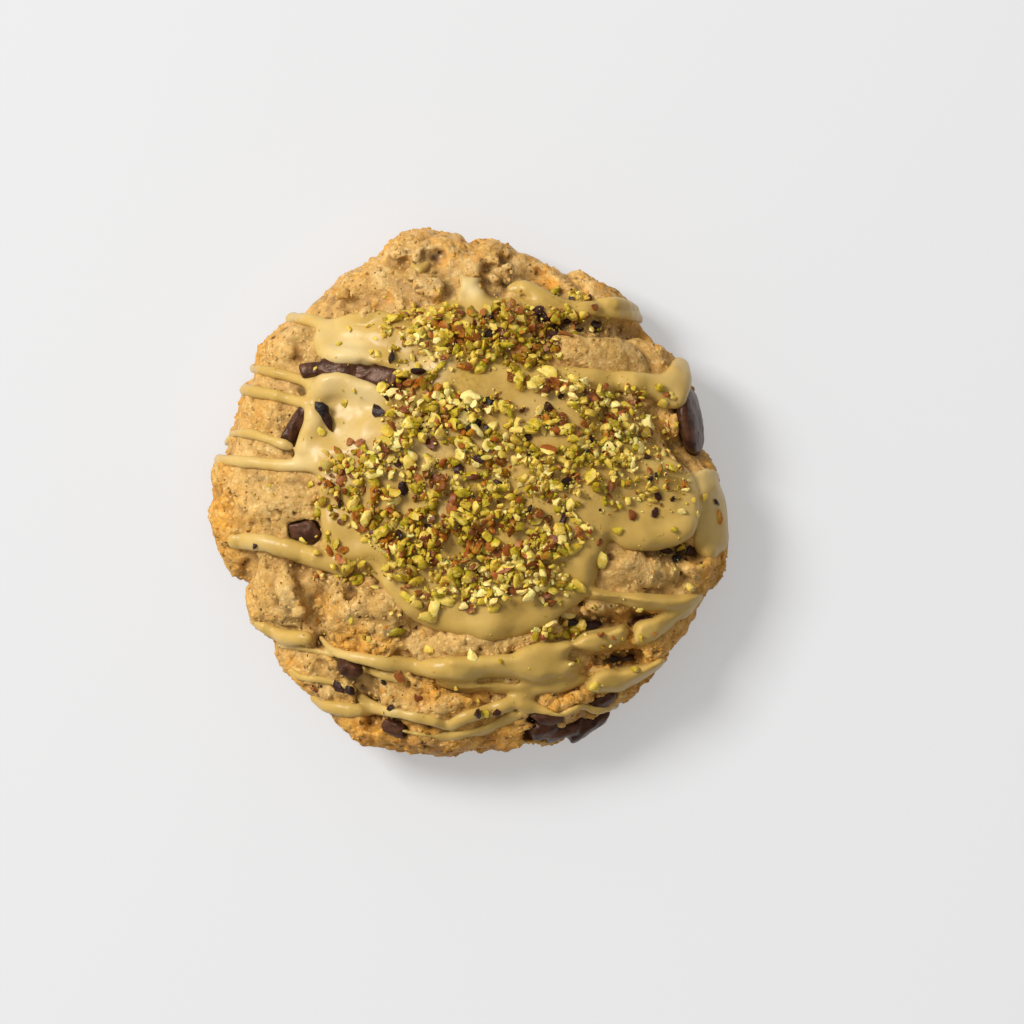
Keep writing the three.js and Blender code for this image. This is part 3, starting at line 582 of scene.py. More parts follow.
def mesh_object(name, vertices, faces, smooth=True):
    """A mesh from arrays in mm. Faces all have the same number of corners."""
    mesh = bpy.data.meshes.new(name)
    faces = np.asarray(faces, dtype=np.int32)
    corners = faces.shape[1]
    mesh.vertices.add(len(vertices))
    mesh.vertices.foreach_set("co", (np.asarray(vertices) * MM).astype(np.float32).ravel())
    mesh.loops.add(faces.size)
    mesh.loops.foreach_set("vertex_index", faces.ravel())
    mesh.polygons.add(len(faces))
    mesh.polygons.foreach_set("loop_start", np.arange(0, faces.size, corners, dtype=np.int32))
    mesh.polygons.foreach_set("use_smooth", np.full(len(faces), smooth))
    mesh.update(calc_edges=True)
    mesh.validate()
    piece = bpy.data.objects.new(name, mesh)
    bpy.context.collection.objects.link(piece)
    return piece


def add_attribute(piece, label, values, domain="POINT"):
    """A value for each point or each face of a mesh, for its material to read."""
    attribute = piece.data.attributes.new(label, "FLOAT", domain)
    attribute.data.foreach_set("value", np.asarray(values, dtype=np.float32))


def thinned(piece, most_triangles):
    """The same mesh with its flattest parts in larger triangles, so that it stays within a count."""
    triangles = sum(len(face.vertices) - 2 for face in piece.data.polygons)
    change = piece.modifiers.new("thin", "DECIMATE")
    change.ratio = min(1.0, most_triangles / triangles)
    deps = bpy.context.evaluated_depsgraph_get()
    mesh = bpy.data.meshes.new_from_object(piece.evaluated_get(deps))
    piece.modifiers.clear()
    old = piece.data
    piece.data = mesh
    bpy.data.meshes.remove(old)
    mesh.polygons.foreach_set("use_smooth", np.full(len(mesh.polygons), True))
    spots = np.empty(len(mesh.vertices) * 3, dtype=np.float32)
    mesh.vertices.foreach_get("co", spots)
    normals = np.empty(len(mesh.vertices) * 3, dtype=np.float32)
    mesh.vertices.foreach_get("normal", normals)
    return spots.reshape(-1, 3).astype(float) / MM, normals.reshape(-1, 3).astype(float)


def nearness(points, pixel, reach):
    """1 under a pixel of the photograph, falling to 0 around it over that reach in mm."""
    x, y = place(pixel)
    return np.exp(-((points[:, 0] - x) ** 2 + (points[:, 1] - y) ** 2) / reach ** 2)


def spread(points, spots, usual, usual_weight=0.25):
    """A value that changes smoothly between named places: pixel, reach in mm, value."""
    weight = np.full(len(points), usual_weight)
    total = weight * usual
    for pixel, reach, value in spots:
        w = nearness(points, pixel, reach)
        weight = weight + w
        total = total + w * value
    return total / weight


def patches(points, spots):
    """How strong the patches are at each point. A patch is a pixel, reach in mm and strength."""
    total = np.zeros(len(points))
    for pixel, reach, value in spots:
        total = np.maximum(total, nearness(points, pixel, reach) * value)
    return total


# ---------------------------------------------------------------- dough

GRID = Grid((-51.6, -52.4, -1.2), (51.6, 52.4, 31.6), 0.4)
BAND = 2.2                  # the relief is worked out this far to each side of the surface
DOUGH_TRIANGLES = 196000
DOUGH_SCRAP = 5000          # loose bodies of fewer vertices are left out
SOFT_CELLS = 3              # how far the dough is softened under thin cream
BED_CELLS = 4               # and how much further under thick cream
POCKET_BLEND = 0.5

# Relief of the crust: height and size of each layer, and how much of it calm and rough crust have.
KNOBS = (0.8, 8.0)
SMALL_KNOBS = (0.55, 3.9)
ROUGH_PEBBLES = (0.95, 5.6)
ROUGH_KNOBS = (0.4, 2.1)
SWELL = (0.30, 13)
RELIEF_CALM = 0.40
RELIEF_ROUGH = 0.80
RELIEF_MEAN = 1.55

# The finest relief moves the mesh itself: pebbles, finer ones everywhere, and pits.
FINE_PEBBLES = (0.64, 2.9)
FINER = dict(calm=0.08, rough=0.12, size=1.5, shift=40)
PEBBLE_MEAN = 0.6
PITS = dict(size=1.3, start=0.45, most=0.3, calm=0.6, depth=1.5)
FLAT_BASE = 0.5             # below this height the base stays flat

# Grains of crust: how many, half sizes, how far they stand out and where they lie closer together.
GRAINS = dict(seed=91, count=3400, least=0.45, most=1.35, reach=0.25, thin=0.65, thick=1.25,
              above=1.5, shade=0.25, bulge=0.2, usual=0.4, sparse=0.03, dense=1.2)
GRAIN_SHAPES = dict(count=40, points=15, inner=1e-3)
GRAIN_CLUMPS = (1, 6.5)
SMALL_GRAIN_CLUMPS = (0.6, 2.5)
GRAIN_SHARP = 80            # edges are rounded off up to this angle in degrees
FULL_TURN = 6.28

# How brown the crust is apart from its named places: at the rim, in blotches, darker at the foot as painted
# shade of the low side, and below.
BROWN_AND_SHADE = dict(usual=0.05, rim=0.55, uneven=0.8, foot_shade=0.5, foot_height=6, foot_rim=0.3, base=0.5,
             base_height=0.6, most=1.4)
BLOTCHES = (0.30, 8)
SMALL_BLOTCHES = (0.25, 3.2)
# How unevenly flecks and green places show, and how dark the painted shade in the pits is.
FLECK_SHOW = dict(usual=0.8, size=2.2)
GREEN_SHOW = dict(usual=0.7, size=1.6)
PIT_SHADE = dict(start=0.42, most=0.4, gain=2.5)
RIM_FROM = 0.86             # share of the radius where the rim starts
RIM_POWER = 1.5

# Where the crust is smooth or craggy: pixel, reach in mm and roughness, 0 to 1.
CRUST = [
    ((600, 352), 9, 0.2), ((640, 568), 8, 0.3), ((272, 500), 8, 0.6), ((300, 480), 6, 0.5),
    ((430, 250), 14, 0.75), ((500, 262), 12, 0.75), ((350, 290), 9, 0.75), ((590, 300), 7, 0.7),
    ((340, 625), 9, 1.0), ((277, 590), 8, 0.6), ((430, 715), 16, 0.85), ((460, 645), 7, 0.8),
    ((575, 697), 6, 1.0), ((700, 570), 6, 0.8), ((660, 645), 9, 0.7), ((225, 520), 6, 0.8),
]
CRUST_USUAL = 0.65

# Well browned places, orange to brown, and dark brown above 1. Those at the bottom and the lower right are
# partly painted shade, darker where the side faces away from the light.
BROWNED_AND_SHADED = [
    ((220, 500), 5, 0.9), ((222, 535), 6, 1.0), ((235, 565), 4, 0.8), ((226, 470), 4, 0.6),
    ((248, 600), 4, 0.5), ((300, 690), 5, 0.6), ((275, 655), 4, 0.4), ((352, 642), 4.5, 1.0),
    ((385, 648), 4, 0.8), ((333, 605), 3, 0.6), ((318, 570), 3, 0.5), ((375, 738), 6, 0.9),
    ((405, 744), 7, 1.0), ((445, 742), 7, 0.8), ((500, 745), 7, 0.8), ((440, 690), 5, 0.7),
    ((405, 690), 4, 0.5), ((577, 697), 5, 0.95), ((722, 562), 4, 1.0), ((712, 590), 4, 0.6),
    ((470, 700), 6, 0.8), ((430, 725), 6, 0.6), ((520, 738), 6, 0.9), ((340, 715), 6, 0.6),
    ((690, 566), 3, 0.5), ((655, 655), 5, 0.4), ((690, 640), 5, 0.5), ((668, 428), 3, 0.7),
    ((448, 262), 2, 0.9), ((380, 303), 2.2, 0.8), ((473, 250), 3, 0.7), ((545, 285), 3, 0.8),
    ((500, 250), 3, 0.6), ((578, 290), 3, 0.7), ((608, 300), 2.5, 0.8), ((420, 240), 3, 0.4),
    ((360, 275), 4, 0.4), ((240, 400), 5, 0.5), ((262, 375), 4, 0.35), ((285, 345), 4, 0.3),
    ((262, 415), 4, 0.5), ((575, 345), 3, 0.3), ((660, 365), 4, 0.35), ((640, 405), 3, 0.3),
    ((575, 720), 5, 0.5), ((540, 745), 5, 0.5), ((470, 285), 2, 0.5), ((440, 300), 2, 0.5),
    ((640, 640), 8, 0.85), ((600, 690), 6, 0.7), ((560, 700), 5, 0.7), ((350, 700), 5, 0.6),
    ((400, 752), 7, 1.4), ((450, 752), 7, 1.4), ((500, 752), 7, 1.4), ((360, 738), 5, 1.2),
    ((676, 655), 6, 1.0), ((700, 625), 5, 1.0), ((720, 600), 5, 1.1), ((640, 690), 6, 1.2),
]
# Small orange flecks, and crust that a thin glaze of cream wets.
FLECKS = [
    ((435, 238), 1.6, 0.9), ((444, 262), 1.0, 1.0), ((461, 240), 1.6, 0.9), ((485, 239), 1.4, 0.9),
    ((477, 257), 1.2, 0.9), ((447, 248), 1.2, 0.8), ((389, 300), 1.2, 0.9), ((550, 285), 1.6, 1.0),
    ((598, 283), 1.6, 0.9), ((583, 295), 1.2, 0.8), ((423, 231), 1.6, 0.7), ((408, 262), 1.2, 0.6),
    ((385, 265), 1.2, 0.5), ((360, 277), 1.4, 0.5), ((344, 290), 1.6, 0.5), ((345, 652), 3.0, 0.8),
    ((362, 650), 2.0, 0.7), ((320, 600), 1.4, 0.8), ((577, 706), 1.6, 0.9), ((707, 578), 1.8, 0.9),
    ((726, 562), 1.6, 0.9), ((434, 692), 2.0, 0.7), ((378, 740), 2.0, 0.9), ((392, 735), 1.6, 0.8),
    ((222, 520), 2.0, 0.7), ((232, 548), 2.0, 0.7), ((470, 700), 1.5, 0.5), ((680, 640), 1.6, 0.4),
    ((665, 573), 1.6, 0.5), ((240, 416), 2.0, 0.5), ((275, 402), 1.6, 0.4), ((212, 500), 2, 0.6),
]
GLAZED = [
    ((440, 265), 12, 0.9), ((520, 272), 10, 0.9), ((370, 290), 9, 0.8), ((590, 300), 7, 0.7),
    ((480, 245), 10, 0.6), ((300, 320), 6, 0.5), ((577, 697), 5, 0.9), ((440, 740), 9, 0.3),
]
# Grey-green places, where pistachio shows in the dough.
GREENISH = [
    ((312, 300), 2.5, 0.8), ((335, 292), 2.5, 0.6), ((352, 270), 2.5, 0.6), ((445, 280), 3, 0.5),
    ((265, 485), 4.5, 0.6), ((298, 478), 3, 0.5), ((287, 607), 3.2, 0.9), ((315, 600), 2.5, 0.8),
    ((300, 590), 3, 0.4), ((392, 632), 1.6, 1.0), ((350, 600), 2.5, 0.4), ((395, 700), 2.2, 0.9),
    ((388, 697), 2.2, 0.7), ((430, 712), 3, 0.3), ((690, 345), 1.4, 0.9), ((530, 268), 3, 0.35),
    ((480, 290), 3, 0.5), ((300, 345), 3, 0.6), ((430, 255), 3, 0.3), ((640, 555), 2, 0.3),
    ((270, 520), 3, 0.3),
]
# Deep places between the lumps, painted nearly black as shade.
SHADED_SLITS = [
    ((572, 621), 1.2, 0.8), ((585, 622), 1.4, 1.0), ((598, 621), 1.4, 1.0), ((610, 620), 1.0, 0.8),
    ((634, 618), 1.0, 1.0), ((644, 618), 1.2, 1.0), ((608, 659), 1.4, 0.9), ((620, 661), 1.5, 1.0),
    ((632, 657), 1.0, 0.8), ((664, 551), 1.5, 0.8), ((680, 551), 1.7, 0.9), ((694, 553), 1.2, 0.8),
    ((318, 640), 1.5, 0.9), ((338, 662), 1.8, 0.9), ((352, 676), 1.7, 1.0), ((364, 692), 1.5, 0.9),
    ((345, 690), 1.8, 0.8), ((492, 283), 1.2, 0.9), ((506, 284), 1.4, 0.9), ((496, 296), 1.0, 0.8),
    ((433, 258), 0.9, 0.8), ((416, 273), 0.9, 0.8), ((545, 326), 1.4, 0.8), ((560, 326), 1.5, 0.9),
    ((596, 330), 1.4, 0.9), ((352, 588), 0.9, 0.8), ((302, 392), 1.2, 0.7), ((312, 538), 1.4, 0.8),
    ((286, 448), 1.2, 0.7), ((330, 570), 1.0, 0.6), ((342, 572), 1.0, 0.7), ((310, 700), 1.0, 0.5),
]


def dough_field():
    """The dough as a field: how far each grid point is outside it."""
    x, y, z = GRID.axes
    field = body_distance(x[:, None, None], y[None, :, None], z[None, None, :]).astype(np.float32)
    for lump in all_lumps():
        add_lump(field, *lump)
    for dent in DENTS:
        cut_dent(field, *dent)
    for groove in GROOVES:
        cut_groove(field, *groove)
    return field


def in_axes(px, py, pz, middle, axes):
    """Offsets from a middle along three axes."""
    offset = (px - middle.x, py - middle.y, pz - middle.z)
    return [sum(offset[i] * axis[i] for i in range(3)) for axis in axes]


def add_lump(field, centre, axes, radii):
    part, px, py, pz = GRID.around(centre, max(radii) + CREASE)
    local = [value / radius for value, radius in zip(in_axes(px, py, pz, centre, axes), radii)]
    k = np.sqrt(sum(value ** 2 for value in local))
    slope = np.sqrt(sum((value / radius) ** 2 for value, radius in zip(local, radii)))
    lump = k * (k - 1) / np.maximum(slope, LEAST_SLOPE)
    field[part] = smooth_union(field[part], lump, CREASE)


def cut_dent(field, pixel, length, width, turn, depth):
    x, y = place(pixel)
    z = float(body_top(x, y))
    axes = axes_at(x, y, z, turn)
    high = min(length, width)
    middle = Vector((x, y, z)) + axes[2] * (high + CREASE - depth)
    part, px, py, pz = GRID.around(middle, max(length, width) + CREASE)
    hollow = rounded_box(px, py, pz, middle, axes, (length, width, high), ELLIPSOID)
    field[part] = smooth_cut(field[part], hollow, CREASE)


def cut_groove(field, route, radius, depth):
    spots = []
    for pixel in route:
        x, y = place(pixel)
        spots.append(np.array((x, y, float(body_top(x, y)) + radius - depth + CREASE)))
    for start, end in zip(spots, spots[1:]):
        cut_segment(field, start, end, radius)


def from_segment(px, py, pz, start, end):
    """Offsets from the nearest point of a segment, and how far along it that is."""
    run = end - start
    off = (px - start[0], py - start[1], pz - start[2])
    share = np.clip(sum(off[i] * run[i] for i in range(3)) / max(float(run @ run), TINY), 0, 1)
    return [off[i] - run[i] * share for i in range(3)], share


def cut_segment(field, start, end, radius):
    """A crevice, open upwards, along a segment."""
    reach = radius + GROOVE_BLEND + GROOVE_MARGIN
    low = np.minimum(start, end) - reach
    high = (*(np.maximum(start, end)[:2] + reach), GRID.axes[2][-1])
    part, px, py, pz = GRID.window(low, high)
    away, _ = from_segment(px, py, pz, start, end)
    away[2] = np.minimum(away[2], 0)
    away = np.sqrt(sum(value ** 2 for value in away))
    field[part] = smooth_cut(field[part], away - radius, GROOVE_BLEND)


def roughen(field):
    """Crust relief: rounded knobs with creases between them, finer and deeper in rough places."""
    band = np.abs(field) < BAND
    points = GRID.points(band)
    rough = spread(points, CRUST, CRUST_USUAL)
    relief = layer(KNOBS, points, HILLS) + layer(SMALL_KNOBS, points, HILLS_B)
    relief += rough * (layer(ROUGH_PEBBLES, points, PEBBLES) + layer(ROUGH_KNOBS, points, HILLS))
    relief += layer(SWELL, points, NOISE)
    field[band] -= (relief * (RELIEF_CALM + RELIEF_ROUGH * rough) - RELIEF_MEAN).astype(np.float32)
    return field


def fine_relief(vertices):
    """How far the pebbles and pits of the crust move each vertex out, in mm."""
    rough = spread(vertices, CRUST, CRUST_USUAL)
    rise, size = FINE_PEBBLES
    fine = rise * rough * (PEBBLES(vertices, size) - PEBBLE_MEAN)
    finer = PEBBLES(vertices + FINER["shift"], FINER["size"]) - PEBBLE_MEAN
    fine += (FINER["calm"] + FINER["rough"] * rough) * finer
    pit = np.clip(NOISE_B(vertices, PITS["size"]) - PITS["start"], 0, PITS["most"]) * (PITS["calm"] + rough)
    return (fine - pit * PITS["depth"]) * (vertices[:, 2] > FLAT_BASE)


def make_dough(pockets):
    """The crust and its grains, the dough softened twice, and the heights of its top."""
    field = roughen(dough_field())
    whole = field.copy()
    for part, distance in pockets:
        whole[part] = np.minimum(whole[part], distance)
        field[part] = smooth_cut(field[part], distance, POCKET_BLEND)
    soft = blurred(whole, SOFT_CELLS)
    bed = blurred(soft, BED_CELLS)
    field = np.maximum(field, -GRID.axes[2][None, None, :]).astype(np.float32)
    vertices, quads = without_scraps(*surface_nets(field, GRID), least=DOUGH_SCRAP)
    vertices = vertices + vertex_normals(vertices, quads) * fine_relief(vertices)[:, None]
    vertices[:, 2] = np.maximum(vertices[:, 2], 0)
    piece = mesh_object("cookie_crust", vertices + SHIFT, quads)
    spots, normals = thinned(piece, DOUGH_TRIANGLES)
    spots = spots - SHIFT
    brown = brownness_and_shade(spots)
    add_crust_attributes(piece, spots, brown, soft)
    return piece, make_grains(spots, normals, brown), soft, bed, tops(whole, GRID)


def rim_share(spots):
    """1 at the rim of the cookie, falling to 0 a little further in."""
    share = np.hypot(spots[:, 0], spots[:, 1])
    share = share / outline_radius(np.arctan2(spots[:, 1], spots[:, 0]))
    return np.clip((share - RIM_FROM) / (1 - RIM_FROM), 0, 1) ** RIM_POWER


def brownness_and_shade(spots):
    """How brown the crust is at each point: 0 pale, 1 well browned, and more where it is darkest; darker at
    the foot, which is painted shade.
    """
    edge = rim_share(spots)
    patch = layer(BLOTCHES, spots, NOISE) + layer(SMALL_BLOTCHES, spots, NOISE_B)
    named = np.maximum(patches(spots, BROWNED_AND_SHADED), BROWN_AND_SHADE["rim"] * edge)
    brown = named + patch * BROWN_AND_SHADE["uneven"] + BROWN_AND_SHADE["usual"]
    # Painted shade: the crust is darker low on its side, towards the foot.
    foot_shade = np.clip(1 - spots[:, 2] / BROWN_AND_SHADE["foot_height"], 0, 1) * (edge > BROWN_AND_SHADE["foot_rim"])
    brown += BROWN_AND_SHADE["foot_shade"] * foot_shade + BROWN_AND_SHADE["base"] * (spots[:, 2] < BROWN_AND_SHADE["base_height"])
    return np.clip(brown, 0, BROWN_AND_SHADE["most"])


def add_crust_attributes(piece, spots, brown, soft):
    """What the dough's material needs to know at each point."""
    fleck_show = np.clip(FLECK_SHOW["usual"] + NOISE(spots, FLECK_SHOW["size"]), 0, 1)
    green_show = GREEN_SHOW["usual"] + NOISE(spots, GREEN_SHOW["size"])
    # Where the crust has pits, its material paints shade.
    pit = np.clip(NOISE_B(spots, PITS["size"]) - PIT_SHADE["start"], 0, PIT_SHADE["most"])
    add_attribute(piece, "brown", brown)
    add_attribute(piece, "flecks", patches(spots, FLECKS) * fleck_show)
    add_attribute(piece, "glazed", patches(spots, GLAZED))
    add_attribute(piece, "green", patches(spots, GREENISH) * green_show)
    # bulge is below zero in hollows, where the material paints shade
    add_attribute(piece, "bulge", sampled(soft, GRID, spots))
    add_attribute(piece, "slit", patches(spots, SHADED_SLITS))
    add_attribute(piece, "pit", pit * PIT_SHADE["gain"])


def make_grains(spots, normals, brown):
    """Small lumps of crust, sunk in the surface that they belong to."""
    grain = GRAINS
    rng = np.random.default_rng(grain["seed"])
    shapes = chip_shapes(rng, **GRAIN_SHAPES)
    clumps = layer(GRAIN_CLUMPS, spots, NOISE) + layer(SMALL_GRAIN_CLUMPS, spots, NOISE_B)
    clumps = np.clip(grain["usual"] + clumps, grain["sparse"], grain["dense"])
    share = spread(spots, CRUST, CRUST_USUAL) * clumps * (spots[:, 2] > grain["above"])
    chosen = rng.choice(len(spots), grain["count"], replace=False, p=share / share.sum())
    pile = Pile("crust_grains")
    for index in chosen:
        size = grain["least"] + (grain["most"] - grain["least"]) * rng.uniform() ** 2
        corners, faces = shapes[rng.integers(len(shapes))]
        corners = corners * size * rng.uniform(grain["thin"], grain["thick"], 3)
        corners = corners @ np.array(Euler(rng.uniform(0, FULL_TURN, 3)).to_matrix()).T
        out = normals[index]
        corners = corners + spots[index] + out * (grain["reach"] - (corners @ out).max())
        shade = np.clip(brown[index] + rng.normal(0, grain["shade"]), 0, 1)
        pile.add(corners, faces, brown=shade, bulge=grain["bulge"], green=0, pit=0, flecks=0,
                 glazed=0, slit=0)
    return pile.mesh(GRAIN_SHARP)


# ---------------------------------------------------------------- cream

# Sheets of cream: outline in pixels, then in mm the thickness, how wide the rounded edge is and
# the lowest height it runs down to.
SHEETS = [
    # the pool
    ([(689, 498), (686, 476), (657, 455), (628, 443), (604, 430), (596, 414), (612, 394), (645, 396),
      (664, 408), (684, 407), (690, 388), (685, 363), (673, 362), (660, 376), (622, 376), (585, 371),
      (540, 368), (505, 366), (470, 363), (438, 374), (417, 380), (400, 389), (384, 390), (363, 380),
      (341, 373), (319, 377), (309, 390), (307, 418), (301, 438), (297, 456), (316, 473), (321, 490),
      (322, 520), (327, 540), (344, 562), (372, 562), (388, 573), (402, 592), (410, 613), (431, 626),
      (468, 635), (497, 637), (524, 631), (551, 618), (578, 601), (590, 588), (600, 560), (612, 540),
      (634, 546), (660, 545), (684, 537), (690, 518)], 2.0, 2.6, 8),
    # upper left patch
    ([(321, 350), (319, 334), (334, 325), (363, 325), (392, 326), (418, 326), (440, 322), (470, 318),
      (500, 322), (520, 340), (500, 356), (460, 355), (432, 352), (412, 366), (388, 366), (358, 362),
      (333, 361)], 1.7, 2.0, 8),
    # cream under the crumbs at the top
    ([(418, 312), (440, 305), (466, 300), (490, 296), (520, 300), (550, 304), (575, 312), (566, 322),
      (540, 330), (510, 340), (470, 340), (430, 330)], 1.0, 2.2, 8),
    # flow over the right edge
    ([(697, 474), (712, 474), (724, 488), (730, 514), (728, 546), (716, 558), (700, 556), (693, 540),
      (695, 515), (693, 494)], 0.8, 1.5, 7.5),
    # broad strands at the lower right
    ([(589, 588), (611, 593), (643, 594), (672, 595), (701, 594), (692, 606), (672, 612), (646, 607),
      (618, 599), (590, 598)], 2.2, 1.7, 11.5),
    ([(634, 644), (633, 624), (650, 617), (676, 609), (694, 603), (691, 612), (678, 622), (664, 634),
      (648, 645)], 1.8, 1.6, 11),
    ([(586, 690), (590, 676), (604, 668), (633, 666), (662, 658), (664, 664), (644, 680), (622, 691),
      (602, 693)], 2.2, 1.7, 11.5),
    ([(574, 646), (580, 634), (600, 629), (620, 624), (629, 627), (626, 640), (612, 647), (594, 651)],
     1.8, 1.4, 10),
    # the thick lower band and the thin layers under it
    ([(446, 657), (480, 655), (512, 652), (524, 646), (548, 641), (579, 641), (572, 650), (567, 658),
      (577, 664), (567, 677), (540, 682), (514, 678), (480, 676), (452, 678)], 2.5, 1.9, 8),
    ([(438, 676), (490, 682), (540, 682), (582, 672), (584, 682), (560, 692), (530, 694), (490, 690),
      (448, 686)], 0.9, 1.0, 8),
    ([(444, 735), (484, 728), (520, 713), (530, 700), (534, 706), (516, 720), (486, 734), (450, 739)],
     0.5, 0.8, 7),
    # smears on the top crust
    ([(460, 300), (461, 284), (468, 279), (477, 287), (482, 299)], 0.6, 0.9, 8),
    ([(409, 380), (404, 368), (420, 359), (438, 354), (470, 352), (500, 356), (502, 374), (462, 372),
      (430, 377), (416, 384)], 1.6, 1.4, 8),
    ([(336, 318), (360, 312), (392, 314), (392, 322), (340, 326)], 0.5, 0.9, 8),
]
THICK_SHEET = 1.5           # sheets thicker than this lie on the softer bed
SHEET_UNDER = 1.5           # how far a sheet reaches down into the dough
SHEET_MARGIN = 1            # how far beyond its edge a sheet is worked out
# Height and size of a sheet's uneven outline and of the waves and ripples of its top.
SHEET_WOBBLE = (0.45, 3.3)
SHEET_WAVES = (0.20, 8)
SHEET_RIPPLES = (0.06, 3.6)
SHEET_APART = 9             # sets the noise of each sheet apart, by its thickness
RAGGED_END = 2.5            # how much the waves change the height that a sheet runs down to
END_BLEND = 1.4
EDGE_MOST = 3               # how many edge widths outside a sheet still count
CREAM_BLEND = 1.1
CREAM_GRID = Grid((-48.5, -49.0, 4.0), (49.0, 42.0, 31.6), 0.32)

